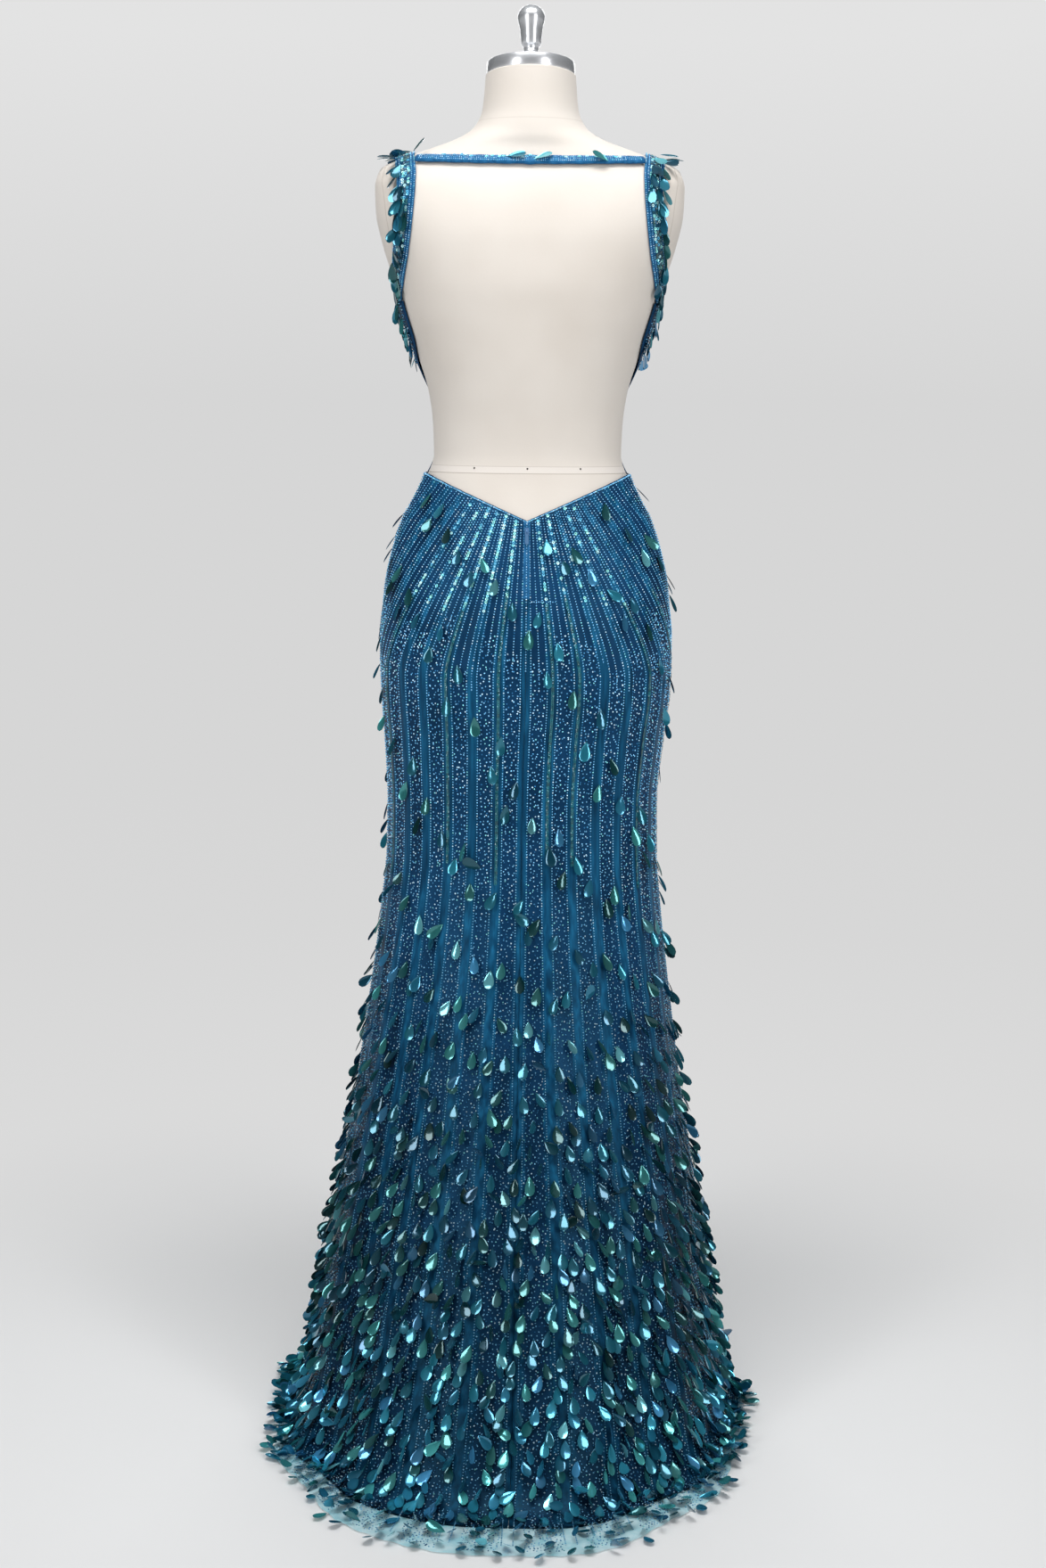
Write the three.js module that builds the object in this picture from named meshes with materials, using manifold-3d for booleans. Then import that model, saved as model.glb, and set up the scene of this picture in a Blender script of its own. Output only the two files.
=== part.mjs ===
// A backless beaded evening gown on a tailor's dress form with a plain round stand.
// Millimetres, +Z up. The origin is the centre of the stand's underside, on the floor.
// The gown's front faces -Y and its back, with the zip and the train, faces +Y.
// Angles run round the body in degrees: 0 is the centre front, 90 the wearer's left side (+X)
// and 180 the centre back.
import * as THREE from "three";
import Module from "manifold-3d";

const wasm = await Module();
wasm.setup();

// Driving dimensions.
const CLOTH = 2; // thickness of beaded net over its lining
const EASE = 3.6; // from the form's surface to the cloth's outer face
const SEAM = 0.3; // gap between two sewn pieces
const STRAP_CLEARANCE = 0.9; // from the form to the underside of a strap
const WAIST_Z = 1169;
const BACK_V_Z = 1114; // lowest point of the open back
const BACK_V_SLOPE = 0.44; // rise of the back edge for each millimetre to the side
const SIDE_ANGLE = 90;
const NECKLINE_Z = 1345; // bottom of the front V
const STRAP_TOP_Z = 1450; // where the front strap leaves the bodice
const UNDERARM_Z = 1374; // where the back strap meets the bodice
const STRAP_WIDTH = 24;
const CAP_TILT = 8.5; // the neck's top leans down to the front
const FORM_BOTTOM_Z = 868;

// Sections of the dress form. half is half the width, front and back are the depths from the
// widest line, mid is where that line lies in Y, and square is the exponent of the rounded outline.
const FORM = table(["z", "half", "front", "back", "mid", "square"], [
  [868, 172, 110, 112, 6, 2.2],
  [900, 175, 112, 117, 7, 2.2],
  [950, 176.5, 113, 118, 8, 2.2],
  [1020, 172, 112, 109, 7, 2.2],
  [1070, 163, 109, 98, 4, 2.2],
  [1114, 149, 102, 88, 0, 2.2],
  [1136, 137, 97, 84, -2, 2.15],
  [1160, 126, 92, 81, -4, 2.1],
  [1190, 115.5, 87, 79, -5, 2.1],
  [1225, 116.5, 88, 82, -5, 2.1],
  [1262, 121, 92, 88, -5, 2.15],
  [1315, 137, 103, 97, -5, 2.2],
  [1355, 152, 112, 102, -4, 2.3],
  [1395, 163, 109, 105, -2, 2.4],
  [1442, 178, 96, 103, 0, 2.6],
  [1480, 186, 80, 96, 2, 2.7],
  [1510, 187, 64, 84, 4, 2.7],
  [1531, 180, 50, 66, 6, 2.5],
  [1544, 152, 46, 56, 6, 2.3],
  [1556, 119, 47, 54, 5, 2.2],
  [1568, 87, 51, 56, 4, 2.1],
  [1581, 68, 52, 56, 3, 2],
  [1600, 58.5, 53, 55, 1, 2],
  [1620, 56, 54, 55, 0, 2],
  [1641, 54.5, 54.5, 54.5, 0, 2],
]);
const BUST = { angle: 37, z: 1350, height: 20, spreadAngle: 17, spreadZ: 42, lift: 3 };

// Sections of the skirt below the form. station runs down the cloth and on along the floor.
// The front hem only touches the floor, and the back lies on it, so each has its own height.
// sway moves a section sideways and flute is the depth of the soft folds.
const SKIRT = table(
  ["station", "zFront", "zBack", "half", "front", "back", "mid", "square", "sway", "flute"],
  [
    [-105, 0.5, 2, 291, 335, 410, 110, 2.15, 13, 7],
    [-60, 9, 2, 284, 323, 373, 101, 2.12, 12, 6],
    [-10, 20, 2, 277, 309, 337, 92, 2.1, 11, 7],
    [16, 33, 17, 270, 293, 325, 80, 2.1, 10, 7],
    [46, 50, 46, 262, 278, 314, 70, 2.1, 9, 6.5],
    [90, 90, 90, 254, 260, 296, 62, 2.1, 8, 6],
    [160, 160, 160, 242.5, 235, 268, 53, 2.1, 7.5, 5],
    [240, 240, 240, 229.5, 210, 238, 44, 2.1, 7, 4],
    [320, 320, 320, 217, 186, 210, 35, 2.1, 6, 3.2],
    [400, 400, 400, 204, 163, 185, 26, 2.1, 5.5, 2.5],
    [480, 480, 480, 193.5, 144, 162, 18, 2.1, 5, 1.8],
    [560, 560, 560, 183, 129, 141, 12, 2.1, 4, 1],
    [640, 640, 640, 174, 118, 125, 8, 2.1, 3.5, 0.4],
    [700, 700, 700, 169, 114, 118, 6, 2.1, 3, 0],
    [767, 767, 767, 168, 113, 115, 6, 2.15, 3, 0],
    [840, 840, 840, 173, 113.5, 115, 6, 2.2, 1.5, 0],
    ...FORM.filter((row) => row.z >= 900 && row.z <= 1190).map((row) => [
      row.z, row.z, row.z, row.half + EASE, row.front + EASE, row.back + EASE, row.mid, row.square, 0, 0,
    ]),
  ],
);
const SKIRT_STATIONS = [
  1146, 1123, 1100, 1070, 1040, 1010, 980, 945, 900, 840, 767, 700, 640, 560, 480, 400, 320, 240,
  160, 90, 46, 16, -10, -60, -105,
];

// The bodice's back edge, as an angle at each height, and its top edge, as a height at each
// share of the way from the centre front to that back edge.
const SIDE_EDGE = table(["z", "angle"], [
  [1169, 90],
  [1184, 87],
  [1215, 83],
  [1260, 85],
  [1288, 91],
  [1310, 99],
  [1331, 104.5],
  [1353, 105.8],
  [1450, 105.8],
]);
const TOP_EDGE = table(["share", "z"], [
  [0, NECKLINE_Z],
  [0.13, 1368],
  [0.26, 1394],
  [0.4, 1423],
  [0.527, STRAP_TOP_Z],
  [0.603, STRAP_TOP_Z],
  [0.65, 1424],
  [0.7, 1402],
  [0.76, 1388],
  [0.84, 1378],
  [0.92, UNDERARM_Z],
  [1, UNDERARM_Z],
]);

// The strap's centre line over the wearer's left shoulder, from the bodice's front to the underarm.
// side is -1 on the chest, 0 on the shoulder ridge and 1 on the back.
const STRAP = table(["x", "z", "side"], [
  [130, 1451.2, -1],
  [131.5, 1460, -1],
  [138, 1495, -1],
  [146, 1530, -1],
  [149, 1545, 0],
  [148, 1534, 1],
  [146, 1514, 1],
  [148, 1474, 1],
  [152, 1434, 1],
  [156, 1400, 1],
  [156, 1384, 1],
  [155, 1375.8, 1],
]);

const BACK_STRAP = { z: 1537, reach: 134, sag: 2, tall: 13, thick: 5, sides: 10, steps: 22 };
const ZIP = { length: 92, width: 9, thick: 1.3, sliderZ: 1101 };
const SLIDER = { width: 5, length: 8, thick: 2 };
const BRIDGE = { wire: 0.5, radius: 2.2, leg: 0.9 };
const PULL = { length: 14.5, width: 4.4, thick: 0.8, eye: 0.85, rim: 0.9 };
const NECK_CAP = { radius: 53, band: 16, dome: 8 };
const KNOB = { collar: 9, waist: 12, belly: 16.5, height: 62 };
const STAND = { radius: 170, edge: 8, hub: 30, hubTop: 40, pole: 16 };

const cloth = finish(0x1d6485, 0.45, 0.2);
const trim = finish(0x235f94, 0.5, 0.15);
const metal = finish(0xc9ccd1, 0.2, 1);
const linen = finish(0xe6dfd7, 0.75, 0);
const iron = finish(0xb9bcc0, 0.45, 0.9);

function finish(color, roughness, metalness) {
  return new THREE.MeshStandardMaterial({ color, roughness, metalness });
}

function table(columns, rows) {
  return rows.map((row) => Object.fromEntries(columns.map((name, i) => [name, row[i]])));
}

// Smooth value of one column of a table at a key, with no overshoot between rows.
function read(rows, key, name, at) {
  const last = rows.length - 1;
  const x = Math.min(Math.max(at, rows[0][key]), rows[last][key]);
  let i = 0;
  while (i < last - 1 && x > rows[i + 1][key]) i++;
  const slope = (k) => (rows[k + 1][name] - rows[k][name]) / (rows[k + 1][key] - rows[k][key]);
  const tangent = (k) => {
    if (k === 0) return slope(0);
    if (k === last) return slope(last - 1);
    const [before, after] = [slope(k - 1), slope(k)];
    return before * after > 0 ? (2 * before * after) / (before + after) : 0;
  };
  const width = rows[i + 1][key] - rows[i][key];
  const t = (x - rows[i][key]) / width;
  const [a, b] = [rows[i][name], rows[i + 1][name]];
  const [ta, tb] = [tangent(i) * width, tangent(i + 1) * width];
  const [t2, t3] = [t * t, t * t * t];
  return (2 * t3 - 3 * t2 + 1) * a + (t3 - 2 * t2 + t) * ta + (3 * t2 - 2 * t3) * b + (t3 - t2) * tb;
}

function smoothstep(low, high, x) {
  const t = Math.min(Math.max((x - low) / (high - low), 0), 1);
  return t * t * (3 - 2 * t);
}

// Distance from a section's middle to its outline in one direction.
function outline(half, front, back, square, angle) {
  const turn = THREE.MathUtils.degToRad(angle);
  const depth = Math.cos(turn) > 0 ? front : back;
  const across = Math.abs(Math.sin(turn)) / half;
  const along = Math.abs(Math.cos(turn)) / depth;
  return (across ** square + along ** square) ** (-1 / square);
}

function bustHeight(angle, z) {
  const off = (Math.abs(angle) - BUST.angle) / BUST.spreadAngle;
  const up = (z - BUST.z) / BUST.spreadZ;
  return BUST.height * Math.exp(-off * off - up * up);
}

// A point of the form, or of the bodice at a given ease outside it.
function formPoint(angle, z, ease = 0) {
  const [half, front, back] = ["half", "front", "back"].map((name) => read(FORM, "z", name, z) + ease);
  const r = outline(half, front, back, read(FORM, "z", "square", z), angle) + bustHeight(angle, z);
  const turn = THREE.MathUtils.degToRad(angle);
  return new THREE.Vector3(r * Math.sin(turn), read(FORM, "z", "mid", z) - r * Math.cos(turn), z);
}

function fluteWave(angle) {
  const turn = THREE.MathUtils.degToRad(angle);
  return 0.6 * Math.cos(9 * turn + 0.8 * Math.sin(2 * turn) + 1.1) + 0.4 * Math.cos(14 * turn + 2);
}

function skirtRadius(angle, station) {
  const value = (name) => read(SKIRT, "station", name, station);
  const plain = outline(value("half"), value("front"), value("back"), value("square"), angle);
  return plain + value("flute") * fluteWave(angle);
}

// A point of the skirt's outer face at an angle and a station.
function skirtPoint(angle, station) {
  const value = (name) => read(SKIRT, "station", name, station);
  const r = skirtRadius(angle, station);
  const turn = THREE.MathUtils.degToRad(angle);
  const onFloor = smoothstep(30, 100, Math.abs(angle));
  return new THREE.Vector3(
    r * Math.sin(turn) + value("sway"),
    value("mid") - r * Math.cos(turn),
    THREE.MathUtils.lerp(value("zFront"), value("zBack"), onFloor),
  );
}

// Outward normal of a surface given as a function of an angle and a height or station.
function normalOf(surface, angle, along) {
  const [turn, step] = [0.2, 0.5];
  const round = surface(angle + turn, along).sub(surface(angle - turn, along));
  const down = surface(angle, along - step).sub(surface(angle, along + step));
  return down.cross(round).normalize();
}

// The skirt's top edge: level in front, and a straight-sided V behind.
function skirtTop(angle) {
  if (Math.abs(angle) <= SIDE_ANGLE) return WAIST_Z;
  let z = WAIST_Z;
  for (let i = 0; i < 8; i++)
    z = Math.min(WAIST_Z, BACK_V_Z + BACK_V_SLOPE * Math.abs(skirtPoint(angle, z).x));
  return z;
}

// A closed wall between an outer and an inner face, each a grid of columns by rows of points.
function wall(outer, inner) {
  const [rows, cols] = [outer.length, outer[0].length];
  const points = [...outer.flat(), ...inner.flat()];
  const at = (side, j, i) => side * rows * cols + j * cols + i;
  const faces = [];
  const quad = (a, b, c, d) => faces.push(a, b, c, a, c, d);
  for (let j = 0; j < rows - 1; j++)
    for (let i = 0; i < cols - 1; i++) {
      quad(at(0, j, i), at(0, j + 1, i), at(0, j + 1, i + 1), at(0, j, i + 1));
      quad(at(1, j, i), at(1, j, i + 1), at(1, j + 1, i + 1), at(1, j + 1, i));
    }
  for (let i = 0; i < cols - 1; i++) {
    quad(at(0, 0, i), at(0, 0, i + 1), at(1, 0, i + 1), at(1, 0, i));
    quad(at(0, rows - 1, i), at(1, rows - 1, i), at(1, rows - 1, i + 1), at(0, rows - 1, i + 1));
  }
  for (let j = 0; j < rows - 1; j++) {
    quad(at(0, j, 0), at(1, j, 0), at(1, j + 1, 0), at(0, j + 1, 0));
    quad(at(0, j, cols - 1), at(0, j + 1, cols - 1), at(1, j + 1, cols - 1), at(1, j, cols - 1));
  }
  return geometry(points, faces);
}

// A closed loft through rings of points, capped at both ends.
function loft(rings) {
  const [rows, cols] = [rings.length, rings[0].length];
  const centre = (ring) => ring.reduce((sum, p) => sum.add(p), new THREE.Vector3()).divideScalar(cols);
  const points = [...rings.flat(), centre(rings[0]), centre(rings[rows - 1])];
  const faces = [];
  for (let i = 0; i < cols; i++) {
    const next = (i + 1) % cols;
    for (let j = 0; j < rows - 1; j++) {
      const [a, b, c, d] = [j * cols + i, j * cols + next, (j + 1) * cols + next, (j + 1) * cols + i];
      faces.push(a, b, c, a, c, d);
    }
    faces.push(rows * cols, next, i);
    faces.push(rows * cols + 1, (rows - 1) * cols + i, (rows - 1) * cols + next);
  }
  return geometry(points, faces);
}

function geometry(points, faces) {
  const made = new THREE.BufferGeometry().setFromPoints(points).setIndex(faces);
  made.computeVertexNormals();
  return made;
}

function spread(from, to, count) {
  return Array.from({ length: count + 1 }, (_, i) => from + ((to - from) * i) / count);
}

// The cloth's inner face, one thickness inside the outer one and never under the floor.
function inside(point, normal, depth) {
  const moved = point.clone().addScaledVector(normal, -depth);
  moved.z = Math.max(moved.z, 0);
  return moved;
}

// A skirt panel between two seams. Its rows run from the top edge to the hem.
function skirtPanel(fromAngle, toAngle, cols) {
  const [outer, inner] = [[], []];
  for (const mark of [null, ...SKIRT_STATIONS]) {
    const [outerRow, innerRow] = [[], []];
    for (const share of spread(0, 1, cols)) {
      const raw = THREE.MathUtils.lerp(fromAngle, toAngle, share);
      const top = skirtTop(raw);
      const station = mark === null ? top : Math.min(mark, mark + (top - WAIST_Z) * topShare(mark));
      const seam = THREE.MathUtils.radToDeg(SEAM / 2 / skirtRadius(raw, station));
      const angle = THREE.MathUtils.lerp(fromAngle + seam, toAngle - seam, share);
      const point = skirtPoint(angle, station);
      outerRow.push(point);
      innerRow.push(inside(point, normalOf(skirtPoint, angle, station), CLOTH));
    }
    outer.push(outerRow);
    inner.push(innerRow);
  }
  return wall(outer, inner);
}

// How much of the top edge's dip a row still follows: all at the waist and none at the hips.
function topShare(station) {
  return smoothstep(985, WAIST_Z, station);
}

// The bodice's outer face follows the form and lifts off it where the cloth spans the bust's foot.
function bodicePoint(angle, z) {
  const off = (Math.abs(angle) - BUST.angle) / (1.6 * BUST.spreadAngle);
  const up = (z - BUST.z + 22) / (1.3 * BUST.spreadZ);
  return formPoint(angle, z, EASE + 0.4 + BUST.lift * Math.exp(-off * off - up * up));
}

// One half of the bodice, from the centre front seam to its back edge. side is 1 for the wearer's left.
function bodicePanel(side) {
  const [outer, inner] = [[], []];
  const shares = TOP_EDGE.flatMap(({ share }, i) => (i ? [(share + TOP_EDGE[i - 1].share) / 2, share] : [0]));
  for (const up of spread(1, 0, 15)) {
    const [outerRow, innerRow] = [[], []];
    for (const share of shares) {
      const z = THREE.MathUtils.lerp(WAIST_Z + SEAM, read(TOP_EDGE, "share", "z", share), up);
      const seam = THREE.MathUtils.radToDeg(SEAM / 2 / read(FORM, "z", "front", z));
      const angle = side * THREE.MathUtils.lerp(seam, read(SIDE_EDGE, "z", "angle", z), share);
      const point = bodicePoint(angle, z);
      outerRow.push(point);
      innerRow.push(inside(point, normalOf(bodicePoint, angle, z), CLOTH));
    }
    if (side < 0) {
      outerRow.reverse();
      innerRow.reverse();
    }
    outer.push(outerRow);
    inner.push(innerRow);
  }
  return wall(outer, inner);
}

// How far a point lies outside the form, as a share of its section, for settling points on the form.
function outsideForm(p) {
  const mid = read(FORM, "z", "mid", p.z);
  const angle = THREE.MathUtils.radToDeg(Math.atan2(p.x, mid - p.y));
  const edge = formPoint(angle, p.z);
  return Math.hypot(p.x, p.y - mid) / Math.hypot(edge.x, edge.y - mid) - 1;
}

function formSlope(p) {
  const step = 0.5;
  const along = (axis) => {
    const [ahead, behind] = [p.clone(), p.clone()];
    ahead[axis] += step;
    behind[axis] -= step;
    return (outsideForm(ahead) - outsideForm(behind)) / (2 * step);
  };
  return new THREE.Vector3(along("x"), along("y"), along("z"));
}

// The nearest point of the form to p, and the form's outward normal there.
function onForm(p) {
  const point = p.clone();
  let slope = formSlope(point);
  for (let i = 0; i < 12; i++) {
    point.addScaledVector(slope, -outsideForm(point) / slope.lengthSq());
    slope = formSlope(point);
  }
  return { point, normal: slope.normalize() };
}

function strapRoute(side) {
  const points = STRAP.map(({ x, z, side: face }) => {
    const depth = face < 0 ? -read(FORM, "z", "front", z) : read(FORM, "z", "back", z);
    const [half, square] = [read(FORM, "z", "half", z), read(FORM, "z", "square", z)];
    const share = Math.max(0, 1 - (x / half) ** square) ** (1 / square);
    return onForm(new THREE.Vector3(x, read(FORM, "z", "mid", z) + (face ? depth * share : 0), z)).point;
  });
  points.forEach((p) => (p.x *= side));
  return new THREE.CatmullRomCurve3(points, false, "centripetal");
}

// A flat strap that hugs the form from the front of the bodice over the shoulder to the underarm.
function shoulderStrap(side) {
  const route = strapRoute(side);
  const [outer, inner] = [[], []];
  for (const t of spread(0, 1, 34)) {
    const middle = onForm(route.getPointAt(t));
    const upward = new THREE.Vector3(0, 0, 1).projectOnPlane(middle.normal).normalize();
    const level = (1 - smoothstep(0, 0.12, t)) - (1 - smoothstep(0, 0.12, 1 - t));
    const along = route.getTangentAt(t).multiplyScalar(1 - Math.abs(level)).addScaledVector(upward, level);
    const across = new THREE.Vector3().crossVectors(along, middle.normal).normalize();
    const [outerRow, innerRow] = [[], []];
    for (const share of spread(0.5, -0.5, 2)) {
      const edge = middle.point.clone().addScaledVector(across, share * STRAP_WIDTH);
      const { point, normal } = onForm(edge);
      innerRow.push(point.clone().addScaledVector(normal, STRAP_CLEARANCE));
      outerRow.push(point.clone().addScaledVector(normal, STRAP_CLEARANCE + CLOTH));
    }
    outer.push(outerRow);
    inner.push(innerRow);
  }
  return wall(outer, inner);
}

// The rolled strap across the upper back, which keeps the shoulder straps from slipping.
function backStrap() {
  const { z, reach, sag, tall, thick, sides, steps } = BACK_STRAP;
  const rings = spread(-reach, reach, steps).map((x) => {
    const height = z - sag * (1 - (x / reach) ** 2);
    const half = read(FORM, "z", "half", height);
    const share = (1 - Math.abs(x / half) ** read(FORM, "z", "square", height)) ** 0.42;
    const y = read(FORM, "z", "mid", height) + read(FORM, "z", "back", height) * share;
    const { point, normal } = onForm(new THREE.Vector3(x, y, height));
    const up = new THREE.Vector3(-normal.x * normal.z, -normal.y * normal.z, 1 - normal.z ** 2).normalize();
    const centre = point.addScaledVector(normal, thick / 2 + 2 * STRAP_CLEARANCE);
    return spread(0, 2 * Math.PI, sides).slice(0, -1).map((turn) =>
      centre.clone()
        .addScaledVector(up, (Math.cos(turn) * tall) / 2)
        .addScaledVector(normal, (-Math.sin(turn) * thick) / 2),
    );
  });
  return loft(rings);
}

// The two rolled folds of the zip, made from the skirt's own points, moved out.
function zipFolds() {
  const heights = spread(BACK_V_Z - 1.5, BACK_V_Z - ZIP.length, 12);
  const rows = heights.map((z) =>
    spread(-0.5, 0.5, 2).map((share) => {
      const angle = 180 + THREE.MathUtils.radToDeg((share * ZIP.width) / skirtPoint(180, z).y);
      return { point: skirtPoint(angle, z), normal: normalOf(skirtPoint, angle, z) };
    }),
  );
  const moved = (out) => rows.map((row) => row.map((p) => p.point.clone().addScaledVector(p.normal, out)));
  return wall(moved(SEAM + ZIP.thick), moved(SEAM));
}

function solid(made) {
  const plain = made.index ? made.toNonIndexed() : made;
  const position = plain.getAttribute("position");
  const seen = new Map();
  const [vertices, triangles] = [[], []];
  for (let i = 0; i < position.count; i++) {
    const p = [position.getX(i), position.getY(i), position.getZ(i)];
    const key = p.map((v) => Math.round(v * 1e4)).join();
    if (!seen.has(key)) {
      seen.set(key, vertices.length / 3);
      vertices.push(...p);
    }
    triangles.push(seen.get(key));
  }
  return new wasm.Manifold(
    new wasm.Mesh({
      numProp: 3,
      vertProperties: new Float32Array(vertices),
      triVerts: new Uint32Array(triangles),
    }),
  );
}

function fromSolid(body) {
  const { vertProperties, triVerts } = body.getMesh();
  const made = new THREE.BufferGeometry();
  made.setAttribute("position", new THREE.BufferAttribute(new Float32Array(vertProperties), 3));
  made.setIndex(new THREE.BufferAttribute(new Uint32Array(triVerts), 1));
  made.computeVertexNormals();
  return made;
}

// The zip's slider in its own frame: Z along the zip, Y away from the cloth, and the pull's
// hinge line through the origin. The wire bridge starts and ends inside the slider's body.
function slider() {
  const faceY = -BRIDGE.leg;
  const body = new THREE.BoxGeometry(SLIDER.width, SLIDER.thick, SLIDER.length);
  body.translate(0, faceY - SLIDER.thick / 2, 0);
  const path = new THREE.CurvePath();
  const corner = (y, z) => new THREE.Vector3(0, y, z);
  const root = faceY - SLIDER.thick / 2;
  const arc = spread(0, Math.PI, 12).map((t) =>
    corner(BRIDGE.radius * Math.sin(t), -BRIDGE.radius * Math.cos(t)),
  );
  path.add(new THREE.LineCurve3(corner(root, -BRIDGE.radius), arc[0]));
  arc.slice(1).forEach((p, i) => path.add(new THREE.LineCurve3(arc[i], p)));
  path.add(new THREE.LineCurve3(arc[arc.length - 1], corner(root, BRIDGE.radius)));
  const section = new THREE.Shape(
    spread(0, 2 * Math.PI, 8).slice(0, -1).map(
      (t) => new THREE.Vector2(BRIDGE.wire * Math.cos(t), BRIDGE.wire * Math.sin(t)),
    ),
  );
  const wire = new THREE.ExtrudeGeometry(section, { steps: 24, extrudePath: path });
  return fromSolid(solid(body).add(solid(wire)));
}

// The teardrop pull, hanging down from the bridge's lower leg in the slider's frame.
function pullTab() {
  const { length, width, thick, eye, rim } = PULL;
  const top = eye + rim;
  const low = -length + width / 2;
  const edge = new THREE.Path();
  edge.moveTo(-top, 0);
  edge.absarc(0, 0, top, Math.PI, 0, true);
  edge.bezierCurveTo(top, -length * 0.35, width / 2, -length * 0.5, width / 2, low);
  edge.absarc(0, low, width / 2, 0, -Math.PI, true);
  edge.bezierCurveTo(-width / 2, -length * 0.5, -top, -length * 0.35, -top, 0);
  const shape = new THREE.Shape(distinct(edge.getPoints(8)));
  const hole = new THREE.Path().absarc(0, 0, eye, 0, 2 * Math.PI, false);
  shape.holes.push(new THREE.Path(distinct(hole.getPoints(8))));
  const made = new THREE.ExtrudeGeometry(shape, { depth: thick, bevelEnabled: false });
  made.translate(0, -BRIDGE.radius, -thick / 2);
  return made.rotateX(Math.PI / 2);
}

// The points of a closed outline without the ones that repeat the next point.
function distinct(points) {
  return points.filter((p, i) => p.distanceTo(points[(i + 1) % points.length]) > 1e-6);
}

// The form's body, closed at the hips and cut at the neck on a plane that leans to the front.
function formBody() {
  const lean = Math.tan(THREE.MathUtils.degToRad(CAP_TILT));
  const heights = FORM.map((row) => row.z);
  const between = [1282, 1299, 1335, 1375, 1418, 1462, 1496, 1521, 1538];
  const levels = [...heights, ...between].sort((a, b) => a - b);
  return loft(
    levels.map((z) =>
      spread(0, 360, 40).slice(0, -1).map((turn) => {
        const p = formPoint(turn > 180 ? turn - 360 : turn, z);
        p.z += lean * p.y * smoothstep(1581, 1641, z);
        return p;
      }),
    ),
  );
}

function turned(profile, segments) {
  return new THREE.LatheGeometry(profile.map(([r, z]) => new THREE.Vector2(r, z)), segments).rotateX(Math.PI / 2);
}

function neckCap() {
  const { radius, band, dome } = NECK_CAP;
  return turned([[0, 0], [radius, 0], [radius, band - 1.5], [radius - 1.5, band], [30, band + dome * 0.7],
    [14, band + dome], [0, band + dome]], 40);
}

function knob() {
  const { collar, waist, belly, height } = KNOB;
  return turned([[0, 0], [collar + 2, 0], [collar + 2, 3], [collar, 5], [collar, 11], [waist, 15],
    [waist + 1.5, 27], [belly - 0.8, 42], [belly, 48], [belly - 1.5, 54], [belly - 6, 59], [belly - 12, height - 0.4],
    [0, height]], 28);
}

function standBase() {
  const { radius, edge, hub, hubTop } = STAND;
  return turned([[0, 0], [radius, 0], [radius, edge - 2], [radius - 2, edge], [hub + 8, edge + 5], [hub, edge + 9],
    [hub - 4, hubTop], [0, hubTop]], 48);
}

function node(name, made, material) {
  const mesh = new THREE.Mesh(made, material);
  mesh.name = name;
  return mesh;
}

function gown() {
  const group = new THREE.Group();
  group.add(
    node("skirt_front", skirtPanel(-SIDE_ANGLE, SIDE_ANGLE, 32), cloth),
    node("skirt_back_left", skirtPanel(SIDE_ANGLE, 180, 17), cloth),
    node("skirt_back_right", skirtPanel(-180, -SIDE_ANGLE, 17), cloth),
    node("bodice_left", bodicePanel(1), cloth),
    node("bodice_right", bodicePanel(-1), cloth),
    node("shoulder_strap_left", shoulderStrap(1), trim),
    node("shoulder_strap_right", shoulderStrap(-1), trim),
    node("back_strap", backStrap(), trim),
    node("zip_folds", zipFolds(), trim),
    zipHardware(),
  );
  return group;
}

// The slider lies on the folds, in line with the slope of the cloth.
function zipHardware() {
  const place = new THREE.Group();
  const normal = normalOf(skirtPoint, 180, ZIP.sliderZ);
  const lift = SEAM + ZIP.thick + SEAM + SLIDER.thick + BRIDGE.leg;
  place.position.copy(skirtPoint(180, ZIP.sliderZ)).addScaledVector(normal, lift);
  place.rotation.x = Math.atan2(normal.z, normal.y);
  place.add(node("zip_slider", slider(), metal), node("zip_pull", pullTab(), metal));
  return place;
}

function dressForm() {
  const group = new THREE.Group();
  group.add(node("form_body", formBody(), linen));
  const neckTop = new THREE.Group();
  neckTop.position.set(0, 0, 1641 + SEAM);
  neckTop.rotation.x = THREE.MathUtils.degToRad(CAP_TILT);
  neckTop.add(node("neck_cap", neckCap(), metal));
  const finial = node("neck_knob", knob(), metal);
  finial.position.set(0, 0, NECK_CAP.band + NECK_CAP.dome + SEAM);
  neckTop.add(finial);
  const pole = node("stand_pole", turned([[0, 0], [STAND.pole, 0],
    [STAND.pole, FORM_BOTTOM_Z - STAND.hubTop - 2 * SEAM], [0, FORM_BOTTOM_Z - STAND.hubTop - 2 * SEAM]], 28), iron);
  pole.position.set(0, 0, STAND.hubTop + SEAM);
  group.add(neckTop, pole, node("stand_base", standBase(), iron));
  return group;
}

const object = new THREE.Group();
object.add(gown(), dressForm());

export default object;
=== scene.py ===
# A backless beaded evening gown on a tailor's dress form, seen from behind.
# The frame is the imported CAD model: +Z up, the gown's back faces +Y and the wearer's left is +X.
# Shapes are worked out in millimetres, as the cloth was cut, and put into Blender in metres.
from functools import partial

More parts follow.
